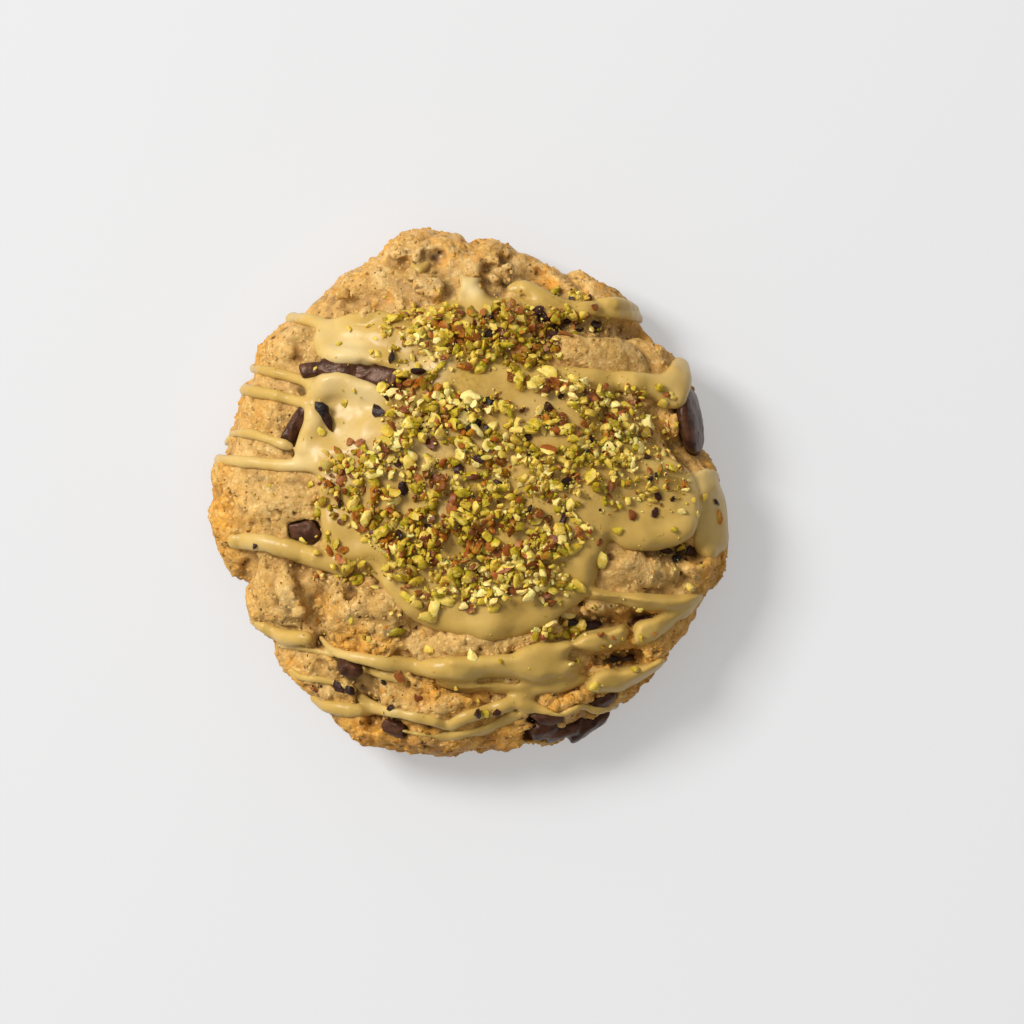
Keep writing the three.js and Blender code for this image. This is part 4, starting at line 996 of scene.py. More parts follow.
# Strands and ridges of cream: route in pixels, half widths in mm along it, height against width.
STRANDS = [
    # on the left, some joined to the pool
    ([(248, 367), (283, 375), (316, 385)], (0.9, 1.05, 1.0), 0.95),
    ([(247, 391), (275, 396), (310, 405)], (1.1, 1.15, 1.1), 0.95),
    ([(233, 434), (252, 434), (271, 440), (289, 446)], (0.7, 0.95, 0.9, 0.9), 0.95),
    ([(222, 446), (232, 440)], (0.8, 0.8), 1.0),
    ([(220, 460), (254, 463), (289, 466), (320, 465)], (1.0, 1.1, 1.15, 1.4), 0.95),
    ([(219, 462), (219, 476)], (0.7, 0.6), 1.0),
    ([(238, 539), (268, 542), (295, 551), (318, 558), (345, 566)], (1.7, 1.6, 1.7, 1.9, 1.9), 0.85),
    ([(288, 546), (304, 551), (318, 556)], (1.7, 2.1, 1.9), 0.95),
    ([(290, 319), (314, 323), (330, 330)], (1.4, 1.4, 1.7), 0.8),
    # ridges round the pool
    ([(412, 389), (394, 399), (370, 395), (346, 388), (327, 391), (318, 404), (317, 426), (308, 446)],
     (1.2, 1.7, 1.8, 1.9, 1.9, 1.9, 1.7, 1.5), 1.0),
    ([(356, 398), (350, 414), (350, 430), (356, 446)], (0.9, 1.3, 1.4, 1.1), 0.6),
    ([(357, 414), (364, 408), (372, 414), (371, 425), (362, 430)], (0.6, 0.8, 0.8, 0.8, 0.6), 0.9),
    ([(380, 402), (390, 412), (388, 428)], (0.8, 1.1, 0.8), 0.7),
    ([(660, 462), (680, 480), (684, 505), (680, 527), (655, 536), (628, 537), (612, 528)],
     (1.3, 1.8, 2.1, 2.3, 2.2, 1.9, 1.3), 0.95),
    ([(540, 373), (585, 377), (625, 383), (655, 387), (677, 384), (679, 368)],
     (1.2, 1.5, 1.7, 1.9, 1.9, 1.6), 0.95),
    ([(330, 545), (366, 560), (390, 578), (404, 600), (432, 617), (465, 625), (500, 628), (535, 617),
      (566, 600), (584, 588)], (1.3, 1.6, 1.6, 1.5, 1.7, 1.7, 1.8, 1.8, 1.5, 1.1), 0.6),
    ([(596, 508), (602, 530), (597, 556), (588, 578)], (0.7, 0.9, 0.9, 0.8), 0.6),
    ([(500, 372), (470, 371), (440, 380)], (1.2, 1.3, 1.1), 0.7),
    ([(520, 426), (560, 436), (600, 452), (640, 470), (668, 478)], (0.9, 1.1, 1.2, 1.2, 0.9), 0.5),
    ([(608, 398), (596, 412), (606, 428), (630, 440), (656, 452)], (1.0, 1.1, 1.1, 1.1, 1.2), 0.6),
    # lower left
    ([(254, 620), (270, 628), (289, 636), (308, 637)], (0.9, 1.35, 1.5, 1.35), 0.9),
    ([(280, 645), (303, 647), (333, 654)], (0.55, 0.7, 0.6), 0.9),
    ([(287, 663), (299, 675), (317, 678), (334, 681), (354, 689)], (0.5, 0.7, 0.75, 0.7, 0.7), 0.9),
    ([(316, 697), (330, 704), (352, 708), (369, 709)], (1.2, 1.5, 1.5, 1.1), 0.9),
    ([(322, 637), (330, 646), (346, 654), (390, 661), (430, 666), (470, 666)],
     (0.5, 0.8, 1.1, 1.5, 2.0, 2.1), 0.9),
    ([(364, 668), (384, 673), (404, 677)], (0.7, 0.9, 1.1), 0.8),
    ([(362, 697), (376, 706), (403, 712), (430, 717), (450, 722), (468, 714), (497, 706), (526, 694)],
     (0.9, 1.15, 1.1, 1.1, 1.3, 1.3, 1.5, 1.1), 0.85),
    ([(404, 730), (440, 735), (480, 728), (512, 712)], (0.4, 0.5, 0.5, 0.4), 0.8),
    ([(440, 680), (456, 686), (472, 688), (486, 683), (500, 687), (530, 689), (572, 676)],
     (0.4, 0.55, 0.55, 0.45, 0.5, 0.55, 0.5), 0.8),
    ([(556, 672), (572, 670), (582, 660)], (0.5, 0.7, 0.4), 0.9),
    # lower right
    ([(520, 702), (540, 708), (560, 713), (580, 705), (596, 709), (616, 705)],
     (1.0, 0.9, 0.6, 0.7, 0.9, 0.7), 0.9),
    ([(562, 722), (570, 724), (576, 720)], (0.5, 0.8, 0.5), 0.5),
    # ridges on the broad strands
    ([(592, 592), (620, 598), (648, 601), (680, 600), (698, 598)], (0.8, 1.2, 1.4, 1.1, 0.7), 0.7),
    ([(638, 628), (656, 619), (682, 612)], (0.9, 1.2, 0.8), 0.7),
    ([(590, 686), (604, 676), (634, 672), (658, 663)], (0.9, 1.2, 1.2, 0.7), 0.7),
    ([(586, 640), (600, 634), (622, 632)], (0.9, 1.1, 0.8), 0.8),
    # upper right
    ([(512, 290), (524, 288), (546, 300), (573, 309), (600, 311), (642, 318)],
     (0.9, 1.3, 1.5, 1.3, 1.6, 1.4), 0.65),
    ([(600, 304), (622, 306), (640, 312)], (1.0, 1.2, 1.2), 0.8),
    # upper left patch border
    ([(326, 330), (322, 344), (330, 357), (352, 360), (380, 361), (404, 362)],
     (1.3, 1.3, 1.3, 1.2, 1.2, 1.0), 0.8),
    ([(436, 366), (456, 358), (480, 357)], (0.9, 1.0, 0.8), 0.8),
    ([(384, 367), (402, 372), (420, 377)], (0.5, 0.6, 0.4), 0.9),
    ([(396, 365), (424, 359), (452, 362), (484, 364)], (0.7, 1.0, 1.1, 0.9), 0.8),
    ([(372, 327), (390, 330), (396, 338), (398, 347)], (0.35, 0.45, 0.45, 0.35), 0.9),
    ([(392, 330), (404, 322), (414, 318)], (0.35, 0.45, 0.35), 0.9),
    ([(700, 482), (706, 505), (704, 530)], (0.6, 0.9, 0.7), 0.6),
    ([(720, 490), (722, 515), (716, 545)], (0.5, 0.7, 0.5), 0.6),
    ([(696, 478), (706, 474), (716, 476)], (0.7, 0.9, 0.6), 0.8),
    # thin threads on the top crust
    ([(393, 267), (401, 272), (410, 280)], (0.35, 0.6, 0.3), 1.0),
    ([(414, 268), (420, 272), (427, 266)], (0.7, 0.9, 0.7), 0.9),
    ([(462, 278), (468, 288), (476, 297)], (0.3, 0.5, 0.4), 0.9),
    ([(345, 322), (338, 334), (340, 346)], (0.4, 0.45, 0.4), 0.9),
    ([(462, 296), (470, 284), (480, 280)], (0.5, 0.5, 0.4), 0.9),
    ([(380, 256), (398, 250), (410, 254)], (0.4, 0.4, 0.3), 0.9),
]
BEAD_LIFT = 0.35            # centre line of a strand above the dough, in half widths
BEAD_LEAST = 0.3
BEAD_UNEVEN = (0.22, 4.5)
BEAD_APART = 7.0            # sets the noise of each strand apart, by its number
BEAD_BED_CELLS = 2          # how far the dough's top is softened under a strand
CREAM_FAR = 4.0             # the field where there is no cream
CREAM_BAND = 1.0            # the relief is worked out this far to each side of the surface
CREAM_WAVES = (0.13, 3.0)
CREAM_RIPPLES = (0.05, 1.4)
CREAM_ROUNDS = 3            # how often the mesh is smoothed
CREAM_SCRAP = 260           # loose bodies of fewer vertices are left out
CREAM_TRIANGLES = 190000
DUST_SHOW = dict(usual=0.5, size=4.5)

# Where the pool is thin, how pale the cream is, and where fine nut covers it: pixel, reach, share.
HOLLOWS = [
    ((338, 408), 4.0, 0.6), ((336, 428), 3.2, 0.6), ((366, 404), 2.6, 0.25),
    ((330, 470), 3.0, 0.4), ((330, 500), 2, 0.3), ((638, 495), 4.5, 0.5),
]
# Pale places of the cream. Those on the right, which faces away from the light, are painted light.
PALE_AND_LIT = [
    ((350, 356), 4.5, 0.9), ((333, 385), 4, 0.6), ((365, 393), 4.5, 0.8), ((316, 420), 3, 0.5),
    ((352, 440), 3.5, 0.6), ((385, 455), 4.5, 0.7), ((430, 450), 5, 0.5), ((300, 462), 5, 0.6),
    ((250, 463), 5, 0.3), ((340, 470), 5, 0.5), ((472, 288), 2.6, 1.0), ((712, 512), 6, 0.4),
    ((722, 495), 4, 0.4), ((690, 378), 4, 0.35), ((672, 390), 4, 0.3), ((700, 480), 4, 0.5),
    ((430, 344), 4, 0.3), ((555, 400), 5, 0.3), ((530, 412), 4, 0.3), ((260, 540), 4, 0.3),
    ((440, 363), 3, 0.8), ((415, 368), 3, 0.7), ((345, 650), 6, 0.3), ((390, 712), 6, 0.3),
    ((330, 335), 4, 0.4), ((400, 430), 4, 0.5),
]
DUSTED = [
    ((455, 490), 15, 1.0), ((475, 410), 12, 0.9), ((575, 430), 10, 0.9), ((500, 560), 12, 0.9),
    ((515, 330), 9, 1.0), ((410, 540), 8, 0.8), ((440, 320), 6, 0.9), ((570, 315), 6, 0.8),
    ((650, 490), 5, 0.25), ((662, 512), 7, 0.4),
]


def curve_points(corners, closed=False, spacing=0.8):
    """A Catmull-Rom curve through the corners. Each row may hold more than a place."""
    p = np.asarray(corners, dtype=float)
    count = len(p)
    rows = []
    spans = count if closed else count - 1
    for i in range(spans):
        if closed:
            a, b, c, d = (p[(i + k) % count] for k in (-1, 0, 1, 2))
        else:
            a, b, c, d = (p[min(max(i + k, 0), count - 1)] for k in (-1, 0, 1, 2))
        steps = max(2, int(np.linalg.norm((c - b)[:2]) / spacing))
        t = np.linspace(0, 1, steps, endpoint=False)[:, None]
        rows.append(0.5 * (2 * b + (c - a) * t + (2 * a - 5 * b + 4 * c - d) * t ** 2
                           + (3 * b - 3 * c + d - a) * t ** 3))
    if not closed:
        rows.append(p[-1:])
    return np.concatenate(rows)


def outline_depth(path, x, y):
    """Distance in from a closed path, below zero outside it, on a plane of points."""
    ends = np.roll(path, -1, axis=0)
    nearest = np.full(x.shape, np.inf)
    crossings = np.zeros(x.shape, dtype=int)
    for (ax, ay), (bx, by) in zip(path, ends):
        rx, ry = bx - ax, by - ay
        share = np.clip(((x - ax) * rx + (y - ay) * ry) / max(rx * rx + ry * ry, TINY), 0, 1)
        nearest = np.minimum(nearest, np.hypot(x - ax - rx * share, y - ay - ry * share))
        if ay != by:
            crossings += ((ay > y) != (by > y)) & (x < ax + rx * (y - ay) / ry)
    return np.where(crossings % 2 == 1, nearest, -nearest)


def add_sheet(field, bed, outline, thickness, edge, lowest):
    """A sheet of cream that follows its bed, with a rounded edge and a ragged end."""
    path = curve_points([place(pixel) for pixel in outline], closed=True, spacing=1.0)
    margin = edge + SHEET_MARGIN
    low = (*(path.min(axis=0) - margin), 0)
    high = (*(path.max(axis=0) + margin), CREAM_GRID.axes[2][-1])
    part, px, py, pz = CREAM_GRID.window(low, high)
    x, y = np.broadcast_arrays(px[:, :, 0], py[:, :, 0])
    flat = np.stack([x.ravel(), y.ravel(), np.full(x.size, thickness * SHEET_APART)], axis=1)
    depth = outline_depth(path, x, y) + layer(SHEET_WOBBLE, flat, NOISE_B).reshape(x.shape)
    waves = layer(SHEET_WAVES, flat, NOISE) + layer(SHEET_RIPPLES, flat, NOISE_B)
    waves = waves.reshape(x.shape)
    thin = patches(flat, HOLLOWS).reshape(x.shape)
    rise = (thickness * (1 + waves) * (1 - thin))[:, :, None]
    above = bed[part]
    out = np.clip((edge - depth) / edge, 0, EDGE_MOST)[:, :, None]
    sheet = rise * (np.sqrt(out ** 2 + (np.maximum(above, 0) / rise) ** 2) - 1)
    sheet = np.maximum(sheet, -(above + SHEET_UNDER))
    end = pz - lowest - RAGGED_END * waves[:, :, None]
    sheet = smooth_cut(sheet, end, END_BLEND).astype(np.float32)
    field[part] = smooth_union(field[part], sheet, CREAM_BLEND)


def add_strand(field, ground, route, halves, flat, index):
    """A bead of cream along a route, flatter than it is wide."""
    rows = [(*place(pixel), half) for pixel, half in zip(route, halves)]
    path = curve_points(rows)
    z = sampled(ground, GRID, path, axes=2)
    keys = np.stack([path[:, 0], path[:, 1], np.full(len(path), index * BEAD_APART)], axis=1)
    half = np.maximum(path[:, 2] * (1 + layer(BEAD_UNEVEN, keys, NOISE)), BEAD_LEAST)
    out = body_normals(path[:, 0], path[:, 1], body_top(path[:, 0], path[:, 1]))
    centres = np.stack([path[:, 0], path[:, 1], z], axis=1) + out * (half * flat * BEAD_LIFT)[:, None]
    for i in range(len(centres) - 1):
        start, end, normal = centres[i], centres[i + 1], out[i]
        reach = max(half[i], half[i + 1]) + CREAM_BLEND
        low, high = np.minimum(start, end) - reach, np.maximum(start, end) + reach
        part, px, py, pz = CREAM_GRID.window(low, high)
        away, share = from_segment(px, py, pz, start, end)
        up = sum(away[k] * normal[k] for k in range(3))
        squared = sum(value ** 2 for value in away) + up ** 2 * (1 / flat ** 2 - 1)
        size = half[i] + (half[i + 1] - half[i]) * share
        bead = (np.sqrt(squared) - size) * (1 + flat) / 2
        field[part] = np.minimum(field[part], bead)


def make_cream(soft, bed, dough_tops):
    """All the cream in one mesh, and the heights of its top."""
    soft, bed = resampled(soft, GRID, CREAM_GRID), resampled(bed, GRID, CREAM_GRID)
    sheets = np.full(CREAM_GRID.shape, CREAM_FAR, dtype=np.float32)
    for outline, thickness, edge, lowest in SHEETS:
        under = bed if thickness > THICK_SHEET else soft
        add_sheet(sheets, under, outline, thickness, edge, lowest)
    strands = np.full(CREAM_GRID.shape, CREAM_FAR, dtype=np.float32)
    ground = blurred(dough_tops, BEAD_BED_CELLS)
    for index, (route, halves, flat) in enumerate(STRANDS):
        add_strand(strands, ground, route, halves, flat, index)
    field = smooth_union(sheets, strands, CREAM_BLEND).astype(np.float32)
    band = np.abs(field) < CREAM_BAND
    points = CREAM_GRID.points(band)
    waves = layer(CREAM_WAVES, points, NOISE) + layer(CREAM_RIPPLES, points, NOISE_B)
    field[band] -= waves.astype(np.float32)
    vertices, quads = without_scraps(*surface_nets(field, CREAM_GRID), least=CREAM_SCRAP)
    piece = mesh_object("cream", relaxed(vertices, quads, CREAM_ROUNDS) + SHIFT, quads)
    spots = thinned(piece, CREAM_TRIANGLES)[0] - SHIFT
    dust_show = np.clip(DUST_SHOW["usual"] + NOISE(spots, DUST_SHOW["size"]), 0, 1)
    add_attribute(piece, "pale", patches(spots, PALE_AND_LIT))
    add_attribute(piece, "dusty", patches(spots, DUSTED) * dust_show)
    return piece, tops(field, CREAM_GRID)


# ---------------------------------------------------------------- chocolate

# Node, how far it stands, and its lobes: pixel, half sizes along, across and through, turn.
CHOCOLATE = [
    ("chocolate_lower_right", -0.75, [
        ((545, 717), (3.4, 1.5, 1.8), -6), ((540, 731), (3.6, 2.1, 1.9), 12),
        ((562, 733), (4.6, 2.3, 2.0), 6), ((586, 727), (4.8, 2.5, 2.1), 28),
        ((601, 717), (2.4, 1.7, 1.9), 40)]),
    ("chocolate_lower_right_chip", 0.1, [((600, 699), (3.2, 1.5, 1.3), 14)]),
    ("chocolate_upper_left_tip", 0.3, [((312, 373), (2.4, 1.4, 1.3), -12),
                                       ((321, 371), (1.9, 1.5, 1.4), 0)]),
    ("chocolate_upper_left", 0.7, [((338, 371), (3.8, 2.2, 1.6), 2), ((351, 372), (2.4, 2.2, 1.6), -4)]),
    ("chocolate_upper_left_end", 0.7, [((366, 375), (2.2, 2.1, 1.6), -8),
                                       ((385, 379), (4.4, 2.2, 1.8), -16)]),
    ("chocolate_left", 0.3, [((293, 430), (3.3, 0.9, 1.3), 60), ((299, 425), (3.4, 0.8, 1.6), 66),
                             ((305, 417), (2.8, 0.9, 1.3), 74)]),
    ("chocolate_left_middle", -0.8, [((304, 530), (2.8, 1.7, 1.4), 10),
                                     ((313, 535), (1.6, 1.3, 1.2), 60)]),
    ("chocolate_lower_left", 0.3, [((350, 666), (2.7, 1.6, 1.4), -10)]),
    ("chocolate_bottom", 0.3, [((396, 726), (2.5, 1.4, 1.2), -32)]),
]
EDGE_DISC = dict(node="chocolate_right_edge", pixel=(691, 421), half=(6.2, 6.2, 1.9), height=14.5,
                 lean=18)
# The disc is worn, and the crust covers a little more of it than of the solid.
DISC_WORN = dict(pixel=(690, 420), half=(6.4, 6.0, 1.8), height=13.4, lean=13)
DISC_SWING = -9             # degrees about the upright by which it doesn't face straight outwards
CHOCOLATE_STEP = 0.2
CHOCOLATE_MARGIN = 0.6
POCKET_GAP = 0.1            # between a piece and the dough round it
POCKET_MARGIN = 1
LOBE_BLEND = 0.9
# Flat breaks of each lobe: how many, and how far from its middle as a share of its half size.
BREAKS = dict(seed=7, count=5, least=0.68, most=0.9, through=0.8, blend=0.2)
# Wear of the chocolate, and how far apart its noise is for each piece.
WEAR = (0.18, 3.4)
FINE_WEAR = (0.10, 1.7)
FINEST_WEAR = (0.06, 0.8)
WEAR_APART = 17
CHOCOLATE_ROUNDS = 1        # how often the mesh is smoothed


def chocolate_places():
    """Every piece of chocolate: its node and its lobes, each a middle, axes, half sizes and roundness."""
    found = []
    for node, stand, lobes in CHOCOLATE:
        bodies = []
        for pixel, half, turn in lobes:
            x, y = place(pixel)
            z = float(body_top(x, y))
            axes = axes_at(x, y, z, turn)
            bodies.append((Vector((x, y, z)) + axes[2] * stand, axes, half, CHOCOLATE_ROUNDNESS))
        found.append((node, bodies))
    disc = {**EDGE_DISC, **DISC_WORN}
    x, y = place(disc["pixel"])
    level = Vector((x, y, 0)).normalized()
    level.rotate(Euler((0, 0, math.radians(DISC_SWING))))
    lean = math.radians(disc["lean"])
    out = Vector((level.x * math.cos(lean), level.y * math.cos(lean), math.sin(lean)))
    along = Vector((-level.y, level.x, 0))
    axes = (along, out.cross(along), out)
    middle = Vector((x, y, disc["height"]))
    found.append((disc["node"], [(middle, axes, disc["half"], DISC_ROUNDNESS)]))
    return found


def rounded_box(px, py, pz, middle, axes, half, power):
    """About how far each point is outside a body between an ellipsoid (power 2) and a box."""
    local = [np.abs(value) / size for value, size in zip(in_axes(px, py, pz, middle, axes), half)]
    k = np.maximum(sum(value ** power for value in local), TINY) ** (1 / power)
    slope = np.sqrt(sum((value ** (power - 1) / size) ** 2 for value, size in zip(local, half)))
    return (k - 1) / np.maximum(slope * k ** (1 - power), BOX_SLOPE)


def chocolate_pocket(middle, axes, half, power):
    """The hole that a piece of chocolate makes in the dough: part of the grid and distance."""
    part, px, py, pz = GRID.around(middle, max(half) + POCKET_MARGIN)
    return part, rounded_box(px, py, pz, middle, axes, half, power) - POCKET_GAP


def broken(rng, field, x, y, z, middle, axes, half):
    """The lobe with some flat breaks in it."""
    for _ in range(BREAKS["count"]):
        way = rng.normal(size=3) * (1, 1, BREAKS["through"])
        way = way / np.linalg.norm(way)
        world = sum(np.array(axes[i]) * way[i] for i in range(3))
        stand = rng.uniform(BREAKS["least"], BREAKS["most"]) * float(np.linalg.norm(way * np.array(half)))
        plane = (x - middle.x) * world[0] + (y - middle.y) * world[1] + (z - middle.z) * world[2]
        field = smooth_cut(field, stand - plane, BREAKS["blend"])
    return field


def make_chocolate(places):
    """A mesh for each piece of chocolate, with the node that it stands for."""
    rng = np.random.default_rng(BREAKS["seed"])
    pieces = []
    for index, (node, bodies) in enumerate(places):
        low = np.min([np.array(middle) - max(half) for middle, _, half, _ in bodies], axis=0)
        high = np.max([np.array(middle) + max(half) for middle, _, half, _ in bodies], axis=0)
        grid = Grid(low - CHOCOLATE_MARGIN, high + CHOCOLATE_MARGIN, CHOCOLATE_STEP)
        x, y, z = np.meshgrid(*grid.axes, indexing="ij")
        field = np.full(grid.shape, FAR)
        for middle, axes, half, power in bodies:
            lobe = rounded_box(x, y, z, middle, axes, half, power)
            if node != EDGE_DISC["node"]:
                lobe = broken(rng, lobe, x, y, z, middle, axes, half)
            field = smooth_union(field, lobe, LOBE_BLEND)
        points = np.stack([x.ravel(), y.ravel(), z.ravel()], axis=1) + index * WEAR_APART
        wear = layer(WEAR, points, NOISE) + layer(FINE_WEAR, points, NOISE)
        wear = wear + layer(FINEST_WEAR, points, NOISE_B)
        field = field - wear.reshape(field.shape)
        vertices, quads = surface_nets(field, grid)
        vertices = relaxed(vertices, quads, CHOCOLATE_ROUNDS)
        pieces.append((mesh_object(node + "_look", vertices + SHIFT, quads), node))
    return pieces


# ---------------------------------------------------------------- chopped nuts and crumbs

# Fields of crumbs: pixel, spread in pixels, count, least and most half size in mm.
FIELDS = [
    ((450, 490), (114, 120), 3300, 0.3, 1.6),
    ((475, 402), (100, 34), 900, 0.3, 1.5),
    ((575, 440), (72, 60), 950, 0.3, 1.5),
    ((500, 556), (100, 50), 1200, 0.3, 1.5),
    ((510, 335), (92, 32), 1300, 0.3, 1.6),
    ((590, 302), (52, 16), 200, 0.3, 1.2),
    ((648, 470), (46, 62), 230, 0.25, 1.1),
    ((552, 628), (24, 11), 60, 0.6, 1.3),
    ((430, 322), (40, 18), 150, 0.3, 1.3),
    ((470, 490), (235, 235), 150, 0.2, 0.65),
    ((620, 640), (60, 40), 60, 0.25, 0.9),
    ((335, 575), (22, 10), 22, 0.4, 0.9),
    ((612, 514), (14, 10), 26, 0.3, 0.8),
    ((352, 500), (38, 60), 240, 0.3, 1.5),
    ((400, 340), (60, 22), 130, 0.25, 0.9),
    ((640, 392), (50, 16), 50, 0.3, 1.2),
]
DUST_FIELDS = [
    ((470, 490), (125, 125), 2400), ((575, 430), (80, 75), 700), ((515, 335), (105, 42), 900),
    ((600, 305), (55, 18), 200), ((470, 490), (245, 245), 700), ((645, 490), (55, 60), 160),
]
# Stretches of cream or dough that stay nearly bare: pixel, half sizes in pixels, turn.
BARE = [
    ((478, 384), (46, 14), -6), ((530, 400), (34, 11), -14), ((528, 418), (12, 9), 0),
    ((588, 562), (22, 26), -20), ((500, 618), (60, 15), 4), ((350, 540), (40, 10), -42),
    ((398, 596), (30, 10), -48), ((640, 520), (30, 18), 0), ((345, 343), (40, 18), 0),
    ((345, 415), (42, 38), 0), ((600, 352), (44, 20), -12), ((560, 440), (16, 6), -20),
    ((440, 452), (18, 7), 10), ((405, 500), (9, 16), 0), ((455, 545), (8, 14), 30),
    ((540, 505), (18, 8), -30), ((480, 440), (9, 6), 0), ((696, 430), (14, 60), 0),
    ((575, 306), (40, 6), -12), ((592, 621), (24, 5), 0), ((470, 470), (8, 5), 0),
    ((385, 505), (7, 5), 0), ((520, 470), (12, 5), 20), ((600, 470), (12, 6), 0),
    ((648, 379), (40, 9), 3), ((520, 298), (26, 9), -10), ((478, 306), (14, 8), 0),
    ((540, 440), (18, 7), -20), ((500, 420), (14, 6), 10), ((455, 432), (9, 7), 0),
]

# Where the nuts are paler, or browner, than the rest: pixel, reach in mm, share.
PALE_NUTS = [
    ((395, 425), 8, 1.0), ((480, 600), 9, 1.0), ((530, 580), 8, 0.8), ((590, 395), 8, 0.8),
    ((470, 400), 7, 0.7), ((625, 440), 7, 0.6), ((425, 350), 4, 1.0), ((405, 400), 7, 1.0),
]
BROWN_NUTS = [
    ((455, 545), 7, 1.0), ((345, 500), 7, 1.0), ((430, 500), 6, 0.7), ((500, 540), 6, 0.7),
    ((585, 420), 5, 0.6), ((410, 580), 5, 0.6), ((600, 470), 5, 0.4), ((480, 335), 6, 0.8),
    ((530, 330), 8, 0.9), ((570, 322), 5, 0.8),
]

# Bits of their own: pixel, half sizes in mm, turn, colour on the scale of the nuts or a dark kind.
NAMED_NUTS = [
    ((600, 560), (1.3, 2.4, 1.0), 15, 0.80), ((575, 549), (2.0, 1.3, 1.0), 30, 0.62),
    ((550, 622), (1.8, 1.2, 1.0), 20, 0.95), ((566, 616), (1.7, 1.1, 1.0), -10, 1.0),
    ((580, 626), (1.6, 1.2, 1.1), 70, 0.75), ((558, 634), (1.4, 1.0, 0.8), 10, 0.6),
    ((600, 392), (2.0, 1.3, 1.1), 120, 0.7), ((408, 594), (2.2, 1.0, 0.9), -40, 0.62),
    ((447, 319), (1.4, 2.2, 1.0), 5, 0.66),
    ((590, 478), (2.2, 1.3, 1.1), 60, 0.6), ((485, 512), (1.8, 1.4, 1.0), 0, 0.6),
    ((546, 373), (2.2, 1.4, 1.1), -25, 0.75), ((662, 402), (1.5, 1.2, 1.0), 0, 0.7),
    ((471, 655), (1.2, 1.7, 0.9), 20, 0.95), ((487, 714), (1.3, 1.4, 0.9), 0, 0.55),
    ((430, 650), (1.2, 1.1, 0.9), 0, 0.72),
    ((416, 384), (1.9, 1.0, 0.9), 25, 0.16), ((446, 330), (1.3, 1.0, 0.9), 20, 0.95),
    ((424, 353), (1.1, 0.7, 0.7), 0, 0.8), ((434, 350), (0.9, 0.7, 0.7), 30, 0.9),
    ((368, 327), (0.7, 0.5, 0.5), 0, 0.72), ((372, 353), (0.7, 0.6, 0.5), 40, 0.66),
    ((419, 369), (0.6, 1.1, 0.6), 10, 0.6), ((440, 358), (0.8, 0.7, 0.6), 0, 0.85),
    ((634, 668), (1.0, 1.7, 0.9), 5, 0.6), ((681, 547), (1.1, 0.9, 0.8), 30, 0.62),
    ((690, 587), (1.3, 1.0, 0.7), 10, 0.8), ((617, 531), (1.2, 1.0, 0.9), 0, 0.5),
    ((397, 632), (2.3, 1.2, 0.9), 10, 0.34), ((593, 686), (1.2, 2.0, 1.0), -30, 0.66),
    ((304, 540), (1.1, 1.0, 0.8), 0, 0.75), ((318, 552), (1.0, 0.9, 0.7), 0, 0.6),
    ((352, 620), (1.6, 1.0, 0.7), 60, 0.6), ((447, 600), (2.0, 1.5, 0.9), -10, 0.75),
    ((720, 516), (0.8, 1.8, 0.6), 5, 0.22), ((697, 514), (0.8, 0.7, 0.5), 0, 0.8),
    ((323, 433), (0.8, 1.5, 0.6), 10, 0.62), ((346, 404), (0.6, 0.9, 0.5), 0, 0.5),
    ((355, 392), (0.6, 0.6, 0.5), 0, 0.55), ((333, 461), (0.7, 0.8, 0.5), 0, 0.6),
    ((705, 497), (0.7, 0.9, 0.5), 0, 0.6), ((693, 500), (0.7, 0.6, 0.5), 20, 0.7),
    ((350, 330), (0.7, 0.9, 0.5), 20, 0.62), ((340, 345), (0.6, 0.7, 0.5), 0, 0.55),
    ((385, 336), (0.7, 0.8, 0.5), 30, 0.6), ((376, 340), (0.6, 0.6, 0.4), 0, 0.75),
]
